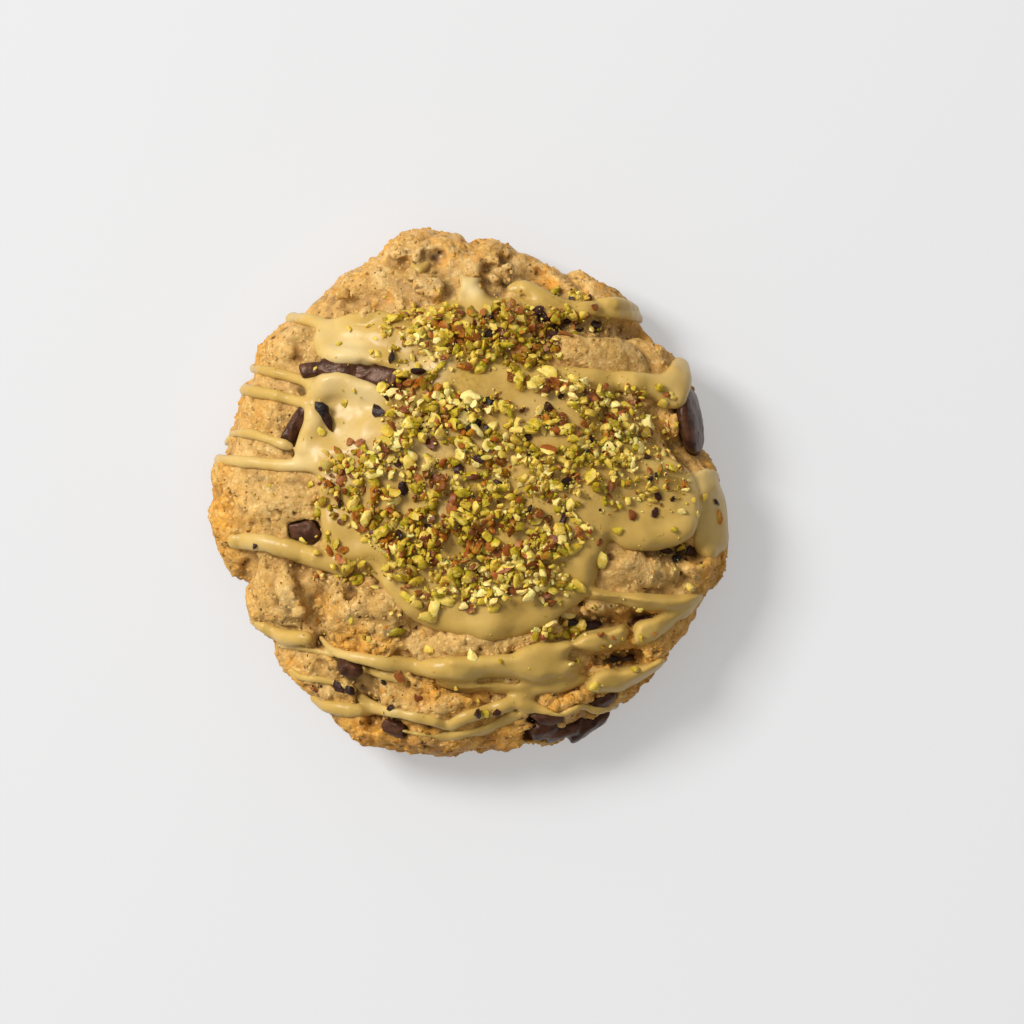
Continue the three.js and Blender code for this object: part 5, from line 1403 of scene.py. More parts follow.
# Dark bits of their own: pixel, half sizes in mm, turn. Those in the crevices at the lower right are
# painted shade, dark bits where there is only shade.
DARK_BITS_AND_SHADE = [
    ((392, 358), (0.9, 1.6, 0.9), 0), ((488, 335), (1.2, 1.5, 1.0), -20),
    ((548, 408), (1.3, 1.3, 1.1), 0), ((565, 483), (1.4, 1.2, 1.0), 0),
    ((430, 527), (1.3, 1.2, 1.0), 0), ((563, 520), (0.7, 2.6, 0.7), -25),
    ((527, 437), (1.3, 0.8, 0.6), -20), ((378, 412), (1.5, 1.2, 0.8), -20),
    ((405, 490), (1.2, 1.7, 0.8), 20), ((460, 470), (1.6, 1.1, 0.7), 10),
    ((649, 480), (0.8, 0.8, 0.6), 0), ((657, 475), (0.9, 0.7, 0.6), 20),
    ((657, 497), (0.8, 1.4, 0.6), 25), ((654, 513), (0.9, 1.3, 0.6), 15),
    ((672, 498), (0.6, 0.6, 0.5), 0), ((478, 713), (0.9, 1.3, 0.8), 15),
    ((496, 712), (0.9, 1.3, 0.8), -15), ((665, 551), (1.6, 1.0, 0.8), -10),
    ((690, 551), (1.7, 1.1, 0.8), 15), ((675, 560), (1.4, 0.9, 0.7), 30),
    ((596, 325), (1.6, 1.1, 0.8), 20), ((545, 318), (1.7, 1.2, 0.8), -30),
    ((566, 322), (1.4, 1.1, 0.8), 10), ((580, 330), (1.3, 0.9, 0.7), -20),
    ((555, 328), (1.2, 1.4, 0.8), 30), ((338, 686), (1.5, 1.1, 0.8), -30),
    ((350, 690), (1.0, 1.3, 0.7), 20), ((384, 681), (1.1, 0.8, 0.6), 0),
    ((390, 707), (0.9, 0.7, 0.5), 30), ((256, 546), (0.8, 0.7, 0.5), 0),
    ((497, 483), (1.0, 0.9, 0.7), 0), ((530, 453), (1.0, 0.7, 0.6), 20),
    ((560, 398), (0.9, 0.7, 0.6), 0), ((646, 457), (1.0, 0.9, 0.7), 0),
    ((420, 372), (1.0, 1.4, 0.7), 80), ((717, 503), (1.3, 0.5, 0.4), -20),
    ((574, 622), (1.9, 1.0, 0.6), -5), ((592, 624), (2.0, 1.0, 0.6), 5),
    ((636, 620), (1.6, 1.0, 0.6), 10), ((646, 618), (1.5, 1.0, 0.6), -10),
    ((614, 660), (1.9, 1.0, 0.6), -10), ((630, 657), (1.4, 0.9, 0.6), 15),
    ((538, 312), (1.6, 1.3, 0.9), 20), ((552, 336), (1.6, 1.2, 0.8), -10),
    ((342, 503), (0.8, 1.2, 0.6), 0), ((400, 464), (1.0, 0.8, 0.6), 0),
    ((329, 420), (1.6, 3.5, 1.2), 22), ((324, 409), (1.3, 2.0, 1.0), 40),
]
NAMED_SKINS = [
    ((470, 545), (1.9, 1.4, 0.6), 10), ((495, 552), (2.2, 1.3, 0.6), 20),
    ((365, 528), (1.6, 1.3, 0.6), 10), ((436, 562), (1.7, 1.2, 0.6), 30),
    ((410, 584), (1.4, 1.2, 0.6), -20), ((438, 478), (1.9, 1.3, 0.6), 0),
    ((418, 478), (1.6, 1.1, 0.5), 40), ((352, 442), (1.1, 1.1, 0.5), 0),
    ((361, 444), (1.3, 1.1, 0.5), 20), ((342, 480), (1.2, 1.6, 0.6), -20),
    ((562, 422), (1.2, 1.8, 0.6), 20), ((584, 424), (1.3, 0.9, 0.5), 20),
    ((631, 517), (1.0, 1.3, 0.5), 20), ((578, 532), (1.4, 1.7, 0.5), 30),
    ((512, 590), (1.5, 1.1, 0.5), 0), ((398, 676), (1.7, 1.4, 0.6), -20),
    ((600, 634), (1.2, 0.9, 0.5), 0), ((510, 378), (1.3, 1.0, 0.5), 30),
    ((443, 325), (1.5, 0.8, 0.5), -20), ((460, 345), (1.1, 0.9, 0.5), 0),
    ((594, 308), (1.0, 0.9, 0.5), 0), ((480, 530), (1.7, 1.1, 0.6), -30),
    ((452, 505), (1.8, 1.3, 0.6), 20), ((520, 545), (1.4, 1.2, 0.5), 60),
    ((606, 386), (1.4, 1.0, 0.5), -10), ((408, 385), (1.8, 0.8, 0.6), 10),
    ((500, 462), (1.6, 1.2, 0.6), 0), ((418, 697), (1.0, 0.8, 0.5), 0),
    ((312, 686), (0.9, 1.2, 0.5), 10), ((315, 690), (1.0, 0.9, 0.5), 0),
]

CRUMB_SEED = 53
# The random shapes of each size: how many, and how they are made.
CHUNKS = dict(count=60, rounds=2, cuts=9)
CHIPS = dict(count=40, rounds=1, cuts=5)
GRIT = dict(count=12, points=6, inner=0.75)
BREAK_REACH = (0.38, 0.8)   # how far from its middle a chunk is broken off
CHUNK_MOST = 1.1
CHUNK_ROUGHNESS = 0.09
BITE = dict(most=0.45, start=0.5)
BEND = 0.35
LARGE_FROM = 0.62           # half size in mm from which a crumb is a chunk and not a chip
PILE_MOST = 1.7             # how high crumbs may pile up
CRUMB_GAP = 0.38            # least distance of two crumbs as a share of their summed half sizes
OWN_SPACE = 1.5             # a bit with a place of its own counts as this much larger there
CRUMB_TILT = 0.45
LEAST_STRETCH = (0.8, 0.65, 0.5)
MOST_STRETCH = (1.45, 1.05, 1.0)
# How deep the bits sink in what they lie on, as a share of their lower half.
NUT_SINK = 0.4
DARK_SINK = 0.5
SKIN_SINK = 0.2
CRUMB_SINK = 0.25
# Shades of the named bits, and the angles in degrees up to which edges are rounded off.
NUT_TONES = (0.4, 1)
DARK_TONES = (0, 1)
SKIN_TONES = (0.2, 1)
NUT_SHARP = 42
SKIN_SHARP = 32
SLOPE_STEP = 0.7            # mm over which the slope under a crumb is measured
PILE_FOOT = 0.7             # share of a crumb's reach over which it raises the heights
PILE_RISE = 0.25            # and how far above its middle, in half thicknesses
# Random crumbs that are skin or dark bits, and nuts that have skin on one side.
SKIN = dict(share=0.065, large=0.03, large_from=0.9, lean=0.045, thin=0.6)
DARK_FROM = 0.985
SKINNED = dict(share=0.3, side=0.25)
# The draw of a nut's colour on the scale of the nuts, and how the pale and brown places shift it.
HUE = dict(draw=(2.3, 1.5), shift=0.02, lean=0.28)
TONE_LEAN = 0.35
# Dust: half sizes in mm, how clear the bare stretches stay, how it lies and its colours.
DUST = dict(least=0.10, most=0.32, power=1.5, bare=0.4, thin=0.7, thick=1.4, lift=0.35, hue=(2.4, 1.6))
# How the crumbs are scattered: towards the edge of a field, unevenly, in clumps and clear of the rim.
SCATTER = dict(outward=0.52, uneven=(0.8, 1.16), rim=0.93, clear=2.2, chance=(-0.9, 0.3))
SIZE_POWER = 1.7
CRUMB_CLUMPS = (1.1, 5.2)
SMALL_CRUMB_CLUMPS = (0.9, 2.4)
BARE_USUAL = 0.94
BARE_EDGE = dict(reach=1.1, slope=2.2)


def chunk_shapes(rng, count, rounds, cuts):
    """Pieces of nut: balls with flat breaks, bites and a bend, as corner and triangle arrays."""
    ball = bmesh.new()
    bmesh.ops.create_icosphere(ball, subdivisions=rounds, radius=1)
    ball.verts.index_update()
    ways = np.array([tuple(vertex.co.normalized()) for vertex in ball.verts])
    faces = np.array([[vertex.index for vertex in face.verts] for face in ball.faces])
    ball.free()
    shapes = []
    for _ in range(count):
        breaks = rng.normal(size=(cuts, 3))
        breaks = breaks / np.linalg.norm(breaks, axis=1)[:, None]
        reach = rng.uniform(*BREAK_REACH, cuts) / np.maximum(ways @ breaks.T, 1e-3)
        radius = np.minimum(reach.min(axis=1), CHUNK_MOST)
        bite = rng.normal(size=3)
        near = ways @ (bite / np.linalg.norm(bite))
        deep = np.clip((near - BITE["start"]) / (1 - BITE["start"]), 0, 1)
        radius = radius * (1 - rng.uniform(0, BITE["most"]) * deep)
        radius = radius * rng.normal(1, CHUNK_ROUGHNESS, len(ways))
        corners = ways * radius[:, None]
        corners[:, 2] += rng.uniform(-BEND, BEND) * corners[:, 0] ** 2
        shapes.append((corners, faces))
    return shapes


def chip_shapes(rng, count, points, inner):
    """Chips: hulls of random points, on a ball or, nearer the middle than `inner`, inside it."""
    shapes = []
    for _ in range(count):
        spots = rng.uniform(-1, 1, (points, 3))
        spots = spots / np.maximum(np.linalg.norm(spots, axis=1), inner)[:, None]
        hull = bmesh.new()
        for spot in spots:
            hull.verts.new(spot)
        bmesh.ops.convex_hull(hull, input=hull.verts)
        loose = [vertex for vertex in hull.verts if not vertex.link_faces]
        bmesh.ops.delete(hull, geom=loose, context="VERTS")
        bmesh.ops.triangulate(hull, faces=hull.faces)
        hull.verts.index_update()
        corners = np.array([tuple(vertex.co) for vertex in hull.verts])
        faces = np.array([[vertex.index for vertex in face.verts] for face in hull.faces])
        hull.free()
        centre = corners.mean(axis=0)
        a, b, c = (corners[faces[:, i]] for i in range(3))
        inward = (np.cross(b - a, c - a) * (a - centre)).sum(axis=1) < 0
        faces[inward] = faces[inward][:, ::-1]
        shapes.append((corners, faces))
    return shapes


class Pile:
    """Crumbs of one kind, joined into one mesh."""

    def __init__(self, name):
        self.name = name
        self.corners, self.faces, self.layers = [], [], {}
        self.count = 0

    def add(self, corners, faces, **values):
        self.corners.append(corners)
        self.faces.append(faces + self.count)
        self.count += len(corners)
        for label, value in values.items():
            value = np.broadcast_to(np.asarray(value, dtype=float), (len(faces),))
            self.layers.setdefault(label, []).append(value)

    def mesh(self, sharp_from=None):
        """One mesh. Its edges are rounded off up to that angle in degrees."""
        piece = mesh_object(self.name, np.concatenate(self.corners) + SHIFT,
                            np.concatenate(self.faces), smooth=bool(sharp_from))
        for label, values in self.layers.items():
            add_attribute(piece, label, np.concatenate(values), domain="FACE")
        if sharp_from:
            piece.data.set_sharp_from_angle(angle=math.radians(sharp_from))
        return piece


def slopes(heights, x, y, h=SLOPE_STEP):
    """The height at a place, and the direction straight up out of the surface there."""
    spots = np.array([[x + h, y], [x - h, y], [x, y + h], [x, y - h], [x, y]])
    z = sampled(heights, GRID, spots, axes=2)
    way = Vector((-(z[0] - z[1]) / (2 * h), -(z[2] - z[3]) / (2 * h), 1)).normalized()
    return float(z[4]), way


def settle(heights, x, y, shape, half, turn, tilt, sink):
    """A chip lying on what is there already. The height map then carries the chip too."""
    z, up = slopes(heights, x, y)
    matrix = Vector((0, 0, 1)).rotation_difference(up).to_matrix() @ Euler((*tilt, turn)).to_matrix()
    corners = (shape[0] * np.array(half)) @ np.array(matrix).T
    lift = -corners[:, 2].min() * (1 - sink)
    i, j = (int(round((v - GRID.low[k]) / GRID.step)) for k, v in enumerate((x, y)))
    r = int(max(half[0], half[1]) * PILE_FOOT / GRID.step)
    patch = heights[i - r:i + r + 1, j - r:j + r + 1]
    patch[:] = np.maximum(patch, z + lift + half[2] * PILE_RISE)
    return corners + np.array((x, y, z + lift))


def bare_share(x, y):
    """How bare the cream stays at each point, 0 to 1."""
    total = np.zeros(len(x))
    for pixel, (length, width), turn in BARE:
        cx, cy = place(pixel)
        c, s = math.cos(math.radians(turn)), math.sin(math.radians(turn))
        u = ((x - cx) * c + (y - cy) * s) / (length * MM_PER_PIXEL)
        v = ((y - cy) * c - (x - cx) * s) / (width * MM_PER_PIXEL)
        edge = BARE_EDGE["slope"] * (BARE_EDGE["reach"] - np.hypot(u, v))
        total = np.maximum(total, np.clip(edge, 0, 1))
    return total


def scatter(rng, fields, power, bare=BARE_USUAL):
    """Random places and half sizes of crumbs, in clumps that leave the bare stretches clear."""
    rows = []
    for (cx, cy), (rx, ry), count, least, most in fields:
        angle = rng.uniform(0, 2 * math.pi, count)
        share = rng.uniform(0, 1, count) ** SCATTER["outward"]
        share = share * rng.uniform(*SCATTER["uneven"], count)
        x = (cx + rx * share * np.cos(angle) - PHOTO_CENTRE[0]) * MM_PER_PIXEL
        y = (PHOTO_CENTRE[1] - cy + ry * share * np.sin(angle)) * MM_PER_PIXEL
        size = least + (most - least) * rng.uniform(0, 1, count) ** power
        rows.append(np.stack([x, y, size], axis=1))
    rows = np.concatenate(rows)
    rim = outline_radius(np.arctan2(rows[:, 1], rows[:, 0]))
    rows = rows[np.hypot(rows[:, 0], rows[:, 1]) < SCATTER["rim"] * rim]
    flat = np.stack([rows[:, 0], rows[:, 1], np.zeros(len(rows))], axis=1)
    clumps = layer(CRUMB_CLUMPS, flat, NOISE) + layer(SMALL_CRUMB_CLUMPS, flat, NOISE_B)
    clumps = clumps - SCATTER["clear"] * bare * bare_share(rows[:, 0], rows[:, 1])
    return rows[clumps > rng.uniform(*SCATTER["chance"], len(rows))]


def lean_to_pale(x, y):
    """Above 0 where the nuts are pale and below 0 where they are brown."""
    spot = np.array([[x, y, 0.0]])
    return float((patches(spot, PALE_NUTS) - patches(spot, BROWN_NUTS))[0])


def random_turn(rng):
    """A turn about the upright and a small tilt."""
    return rng.uniform(0, 2 * math.pi), rng.normal(0, CRUMB_TILT, 2)


def add_named(rng, heights, shapes, piles):
    """The bits that have places of their own."""
    def lay(pile, pixel, half, turn, sink, **values):
        shape = shapes[rng.integers(len(shapes))]
        spots = settle(heights, *place(pixel), shape, half, math.radians(turn), (0, 0), sink)
        piles[pile].add(spots, shape[1], **values)

    for pixel, half, turn, hue in NAMED_NUTS:
        tone = rng.uniform(*NUT_TONES)
        lay("pistachio_pieces", pixel, half, turn, NUT_SINK, hue=hue, tone=tone, skin=0)
    for pixel, half, turn in DARK_BITS_AND_SHADE:
        lay("dark_bits_and_painted_shade", pixel, half, turn, DARK_SINK, tone=rng.uniform(*DARK_TONES))
    for pixel, half, turn in NAMED_SKINS:
        lay("pistachio_skin", pixel, half, turn, SKIN_SINK, tone=rng.uniform(*SKIN_TONES))


def add_crumb(rng, heights, shapes, piles, x, y, size):
    """One random crumb: nut, or now and then skin or a dark bit."""
    is_large = size > LARGE_FROM
    kinds = shapes["chunks"] if is_large else shapes["chips"]
    shape = kinds[rng.integers(len(kinds))]
    turn, tilt = random_turn(rng)
    stretch = rng.uniform(LEAST_STRETCH, MOST_STRETCH)
    kind = rng.uniform()
    pile = "pistachio_pieces" if is_large else "chopped_pistachio"
    lean = lean_to_pale(x, y)
    if kind < SKIN["share"] + SKIN["large"] * (size > SKIN["large_from"]) - SKIN["lean"] * lean:
        pile = "pistachio_skin"
        stretch[2] *= SKIN["thin"]
    elif kind > DARK_FROM:
        pile = "dark_bits_and_painted_shade"
    spots = settle(heights, x, y, shape, stretch * size, turn, tilt, CRUMB_SINK)
    if pile in ("pistachio_skin", "dark_bits_and_painted_shade"):
        piles[pile].add(spots, shape[1], tone=rng.uniform(0, 1))
        return
    way = rng.normal(size=3)
    middle = shape[0][shape[1]].mean(axis=1)
    on_side = middle @ (way / np.linalg.norm(way)) > SKINNED["side"]
    skinned = on_side * (rng.uniform() < SKINNED["share"])
    hue = rng.beta(*HUE["draw"]) + HUE["shift"] + HUE["lean"] * lean
    tone = min(max(rng.uniform(0, 1) + TONE_LEAN * lean, 0), 1)
    piles[pile].add(spots, shape[1], hue=hue, tone=tone, skin=skinned)


def add_crumbs(rng, heights, shapes, piles):
    """The random crumbs, the largest first, clear of each other and of the named bits."""
    bare = heights.copy()
    rows = scatter(rng, FIELDS, SIZE_POWER)
    rows = rows[np.argsort(-rows[:, 2])]
    named_bits = NAMED_NUTS + DARK_BITS_AND_SHADE + NAMED_SKINS
    own = [(*place(bit[0]), OWN_SPACE * sum(bit[1][:2]) / 2) for bit in named_bits]
    kept = np.zeros((len(own) + len(rows), 3))
    kept[:len(own)] = own
    count = len(own)
    for x, y, size in rows:
        near = np.hypot(kept[:count, 0] - x, kept[:count, 1] - y)
        if np.any(near < CRUMB_GAP * (kept[:count, 2] + size)):
            continue
        if slopes(heights, x, y)[0] - slopes(bare, x, y)[0] > PILE_MOST:
            continue
        kept[count] = (x, y, size)
        count += 1
        add_crumb(rng, heights, shapes, piles, x, y, size)


def add_dust(rng, heights, shapes, pile):
    """Dust of nut on everything that is there already."""
    fields = [(*row, DUST["least"], DUST["most"]) for row in DUST_FIELDS]
    for x, y, size in scatter(rng, fields, DUST["power"], bare=DUST["bare"]):
        shape = shapes[rng.integers(len(shapes))]
        turn, tilt = random_turn(rng)
        z, _ = slopes(heights, x, y)
        matrix = np.array(Euler((*tilt, turn)).to_matrix())
        spots = shape[0] * size * rng.uniform(DUST["thin"], DUST["thick"], 3)
        spots = spots @ matrix.T + (x, y, z + size * DUST["lift"])
        pile.add(spots, shape[1], hue=rng.beta(*DUST["hue"]), tone=rng.uniform(0, 1))


def make_crumbs(heights):
    """The piles of nut, skin, dark bits, some of them painted shade in crevices, and dust, each with its
    material.
    """
    rng = np.random.default_rng(CRUMB_SEED)
    shapes = {"chunks": chunk_shapes(rng, **CHUNKS), "chips": chunk_shapes(rng, **CHIPS),
              "grit": chip_shapes(rng, **GRIT)}
    nut, skin, dark = nut_material(), skin_material(), dark_material()
    kinds = (("pistachio_pieces", nut, NUT_SHARP), ("chopped_pistachio", nut, NUT_SHARP),
             ("pistachio_skin", skin, SKIN_SHARP), ("dark_bits_and_painted_shade", dark, SKIN_SHARP),
             ("nut_dust", nut, None))
    piles = {name: Pile(name) for name, _, _ in kinds}
    add_named(rng, heights, shapes["chunks"], piles)
    add_crumbs(rng, heights, shapes, piles)
    add_dust(rng, heights, shapes["grit"], piles["nut_dust"])
    return [(piles[name].mesh(sharp_from), material) for name, material, sharp_from in kinds]


# ---------------------------------------------------------------- materials

# Colours as they show on a screen, 0 to 255.
DOUGH_COLOURS = dict(
    tan=(197, 157, 86), pale_tan=(220, 182, 114), golden=(202, 140, 46), pale_golden=(236, 178, 82),
    baked=(172, 108, 34), glaze=(218, 184, 116), green=(118, 114, 80), pale=(250, 218, 150),
    cell=(190, 132, 60), gap=(150, 98, 40), grain=(138, 90, 34), cavity_shade=(98, 56, 16),
    fleck=(230, 158, 50), pit=(82, 48, 20), dark_speck=(74, 42, 22), brown_speck=(118, 74, 34),
    pale_speck=(248, 220, 150), slit=(52, 28, 12),
)
CREAM_COLOURS = dict(
    deep=(184, 150, 76), light=(196, 163, 88), pale=(222, 200, 148), dark_nut=(128, 88, 18),
    nut=(192, 156, 56), fleck=(140, 108, 40),
)
CHOCOLATE_COLOURS = dict(dark=(52, 28, 16), worn=(92, 58, 40), shine=(255, 226, 208))
NUT_COLOURS = [
    (0.0, (116, 62, 12)), (0.14, (186, 112, 24)), (0.27, (136, 112, 16)), (0.40, (166, 152, 26)),
    (0.54, (200, 172, 44)), (0.70, (220, 190, 80)), (0.86, (228, 202, 102)), (1.0, (238, 216, 136)),
]
NUT_TINTS = dict(shade=(140, 92, 18), dark_skin=(90, 42, 14), skin=(160, 88, 26))
SKIN_COLOURS = dict(dark=(96, 44, 16), light=(170, 98, 34), stain=(60, 26, 16), nut=(176, 142, 60))
DARK_COLOURS = dict(black=(22, 12, 10), brown=(60, 26, 16))
FLOOR_COLOURS = dict(deep=(164, 165, 168), light=(167, 168, 171))


def srgb(*values):
    """A colour given as it shows on a screen, 0 to 255, as a shader's linear colour."""
    linear = [v / 255 / 12.92 if v <= 10 else ((v / 255 + 0.055) / 1.055) ** 2.4 for v in values]
    return (*linear, 1.0)


def tints(colours):
    """The colours of a table, ready for a shader."""
    return {name: srgb(*values) for name, values in colours.items()}


SPECK_EDGE = 0.05           # how softly a speck ends
SPECK_LIMIT = 1.001         # makes a cell either have a speck or not


class Shader:
    """Short ways to add nodes to one material."""

    def __init__(self, name):
        self.material = bpy.data.materials.new(name)
        self.material.use_nodes = True
        self.tree = self.material.node_tree
        self.surface = self.tree.nodes["Principled BSDF"]
        self.place = self.tree.nodes.new("ShaderNodeTexCoord").outputs["Object"]

    def link(self, source, target):
        self.tree.links.new(source, target)

    def noise(self, scale_mm, detail=3, roughness=0.55):
        """Noise of that size, about 0 to 1."""
        node = self.tree.nodes.new("ShaderNodeTexNoise")
        node.inputs["Scale"].default_value = 1 / (scale_mm * MM)
        node.inputs["Detail"].default_value = detail
        node.inputs["Roughness"].default_value = roughness
        self.link(self.place, node.inputs["Vector"])
        return node.outputs["Fac"]

    def cells(self, scale_mm):
        """Cells of that size: how far each point is from its cell's middle, and two random values."""
        node = self.tree.nodes.new("ShaderNodeTexVoronoi")
        node.inputs["Scale"].default_value = 1 / (scale_mm * MM)
        self.link(self.place, node.inputs["Vector"])
        parts = self.tree.nodes.new("ShaderNodeSeparateColor")
        self.link(node.outputs["Color"], parts.inputs["Color"])
        return node.outputs["Distance"], parts.outputs["Red"], parts.outputs["Green"]

    def ramp(self, source, low, high, start=0.0, end=1.0):
        """The source's values from low to high, as values from start to end."""
        node = self.tree.nodes.new("ShaderNodeMapRange")
        node.clamp = True
        for key, value in zip(("From Min", "From Max", "To Min", "To Max"), (low, high, start, end)):
            node.inputs[key].default_value = value
        self.link(source, node.inputs["Value"])
        return node.outputs["Result"]

    def colours(self, source, stops):
        """A scale of colours: each stop is a place on it, 0 to 1, and a colour."""
        node = self.tree.nodes.new("ShaderNodeValToRGB")
        while len(node.color_ramp.elements) < len(stops):
            node.color_ramp.elements.new(0.5)
        for element, (position, colour) in zip(node.color_ramp.elements, stops):
            element.position = position
            element.color = colour
        self.link(source, node.inputs["Fac"])
        return node.outputs["Color"]

    def math(self, kind, a, b):
        node = self.tree.nodes.new("ShaderNodeMath")
        node.operation = kind
        for i, value in enumerate((a, b)):
            if isinstance(value, (int, float)):
                node.inputs[i].default_value = value
            else:
                self.link(value, node.inputs[i])
        return node.outputs[0]

    def mix(self, share, a, b):
        """The colour a, with that share of the colour b."""
        node = self.tree.nodes.new("ShaderNodeMix")
        node.data_type = "RGBA"
        for key, value in ((0, share), (6, a), (7, b)):
            if isinstance(value, (int, float, tuple)):
                node.inputs[key].default_value = value
            else:
                self.link(value, node.inputs[key])
        return node.outputs[2]

    def attribute(self, name):
        """A value that the mesh carries."""
        node = self.tree.nodes.new("ShaderNodeAttribute")
        node.attribute_name = name
        return node.outputs["Fac"]

    def bump(self, height, distance_mm, strength=1.0):
        node = self.tree.nodes.new("ShaderNodeBump")
        node.inputs["Strength"].default_value = strength
        node.inputs["Distance"].default_value = distance_mm * MM
        self.link(height, node.inputs["Height"])
        self.link(node.outputs["Normal"], self.surface.inputs["Normal"])

    def colour(self, source):
        self.link(source, self.surface.inputs["Base Color"])

    def set(self, **values):
        for key, value in values.items():
            self.surface.inputs[key.replace("_", " ")].default_value = value

    def specks(self, size_mm, share, radius):
        """Round specks in some of the cells of a pattern, 0 to 1."""
        distance, chance, size = self.cells(size_mm)
        edge = self.ramp(size, 0, 1, radius / 2, radius)
        near = self.ramp(self.math("SUBTRACT", edge, distance), 0, SPECK_EDGE)
        return self.math("MULTIPLY", near, self.ramp(chance, 1 - share, SPECK_LIMIT - share))


def dough_material():
    """Tan crust, golden to brown where it is baked more, with grains, pits, specks and dark gaps. Painted
    shade darkens the foot, the lower right, the hollows, the pits and the slits.
    """
    s, tint = Shader("dough"), tints(DOUGH_COLOURS)
    tan = s.mix(s.ramp(s.noise(5.0, 4), 0.35, 0.65), tint["tan"], tint["pale_tan"])
    golden = s.mix(s.ramp(s.noise(2.2, 4), 0.35, 0.65), tint["golden"], tint["pale_golden"])
    colour = s.mix(s.ramp(s.attribute("brown"), 0.25, 0.9), tan, golden)
    # Dark brown above 1: partly baked crust, partly painted shade at the foot, the bottom and the lower
    # right.
    colour = s.mix(s.ramp(s.attribute("brown"), 1.0, 1.35, 0, 0.6), colour, tint["baked"])
    glaze = s.math("MULTIPLY", s.attribute("glazed"), s.ramp(s.noise(3.0, 3), 0.42, 0.58))
    colour = s.mix(s.math("MULTIPLY", glaze, 0.6), colour, tint["glaze"])
    colour = s.mix(s.ramp(s.attribute("green"), 0.25, 0.8, 0, 0.75), colour, tint["green"])
    colour = s.mix(s.ramp(s.noise(0.8, 3, 0.7), 0.52, 0.68, 0, 0.55), colour, tint["pale"])
    gap, chance, _ = s.cells(1.15)
    colour = s.mix(s.ramp(chance, 0, 1, 0, 0.25), colour, tint["cell"])
    colour = s.mix(s.ramp(gap, 0.45, 0.75, 0, 0.25), colour, tint["gap"])
    colour = s.mix(s.ramp(s.noise(0.5, 3, 0.7), 0.34, 0.48, 0.4, 0), colour, tint["grain"])
    # Painted shade in hollows, where the point lies inside the softened dough.
    colour = s.mix(s.ramp(s.attribute("bulge"), -0.7, 0.05, 0.85, 0), colour, tint["cavity_shade"])
    colour = s.mix(s.ramp(s.attribute("flecks"), 0.2, 1, 0, 0.75), colour, tint["fleck"])
    # Painted shade in the pits of the crust.
    colour = s.mix(s.ramp(s.attribute("pit"), 0.05, 0.5, 0, 0.85), colour, tint["pit"])
    colour = s.mix(s.specks(2.9, 0.4, 0.14), colour, tint["dark_speck"])
    colour = s.mix(s.specks(1.3, 0.2, 0.22), colour, tint["brown_speck"])
    colour = s.mix(s.math("MULTIPLY", s.specks(1.2, 0.25, 0.3), 0.4), colour, tint["pale_speck"])
    # Painted shade: the named slits nearly black where they lie low.
    deep = s.math("MULTIPLY", s.attribute("slit"), s.ramp(s.attribute("bulge"), -0.1, 0.5, 1, 0))
    s.colour(s.mix(s.ramp(deep, 0.1, 0.75, 0, 0.85), colour, tint["slit"]))
    height = s.math("ADD", s.noise(0.5, 4, 0.7), s.math("MULTIPLY", s.noise(1.4, 3), 0.9))
    height = s.math("SUBTRACT", height, s.math("MULTIPLY", gap, 0.45))
    height = s.math("SUBTRACT", height, s.math("MULTIPLY", s.specks(2.9, 0.3, 0.13), 0.7))
    s.bump(height, 0.36, 0.85)
    s.link(s.ramp(glaze, 0, 1, 0.6, 0.34), s.surface.inputs["Roughness"])
    s.set(Subsurface_Weight=0.06, Subsurface_Scale=0.001)
    s.link(s.ramp(glaze, 0, 1, 0.16, 0.6), s.surface.inputs["Specular IOR Level"])
    return s.material


def cream_material():
    """Smooth, softly glossy cream, paler in named places, partly as painted light on the right side, with
    fine nut where crumbs lie on it.
    """
    s, tint = Shader("cream"), tints(CREAM_COLOURS)
    colour = s.mix(s.ramp(s.noise(9.0, 3), 0.35, 0.65), tint["deep"], tint["light"])
    # Pale places: partly paler cream, partly painted light where the cream faces away from the light.
    colour = s.mix(s.ramp(s.attribute("pale"), 0.1, 0.9, 0, 0.75), colour, tint["pale"])
    nut = s.mix(s.ramp(s.noise(0.9, 4, 0.7), 0.40, 0.62), tint["dark_nut"], tint["nut"])
    colour = s.mix(s.math("MULTIPLY", s.attribute("dusty"), 0.5), colour, nut)
    s.colour(s.mix(s.ramp(s.noise(0.7, 2), 0.68, 0.76, 0, 0.3), colour, tint["fleck"]))
    s.bump(s.noise(2.0, 3), 0.12, 0.6)
    s.set(Roughness=0.33, Subsurface_Weight=0.35, Subsurface_Scale=0.0014, IOR=1.45,
          Specular_IOR_Level=0.3, Subsurface_Radius=(1.0, 0.7, 0.3))
    return s.material


def chocolate_material():
    """Semi-gloss dark chocolate, with paler worn places."""
    s, tint = Shader("chocolate"), tints(CHOCOLATE_COLOURS)
    s.colour(s.mix(s.ramp(s.noise(2.0, 4), 0.4, 0.7), tint["dark"], tint["worn"]))
    s.bump(s.noise(0.9, 4, 0.6), 0.3, 0.5)
    s.set(Roughness=0.3, Specular_IOR_Level=0.26, Specular_Tint=tint["shine"])
    return s.material


def nut_material():
    """Nut from brown over green to pale yellow by its hue, with red-brown skin on some sides."""
    s, tint = Shader("pistachio"), tints(NUT_TINTS)
    patch = s.math("MULTIPLY", s.math("SUBTRACT", s.noise(1.0, 3), 0.5), 0.9)
    colour = s.colours(s.math("ADD", s.attribute("hue"), patch),
                       [(stop, srgb(*value)) for stop, value in NUT_COLOURS])
    colour = s.mix(s.ramp(s.attribute("tone"), 0, 1, 0.22, 0), colour, tint["shade"])
    skin = s.mix(s.attribute("tone"), tint["dark_skin"], tint["skin"])
    s.colour(s.mix(s.attribute("skin"), colour, skin))
    s.bump(s.noise(0.5, 3), 0.16, 0.8)
    s.set(Roughness=0.42, Subsurface_Weight=0.4, Subsurface_Scale=0.001, Specular_IOR_Level=0.3)
    return s.material


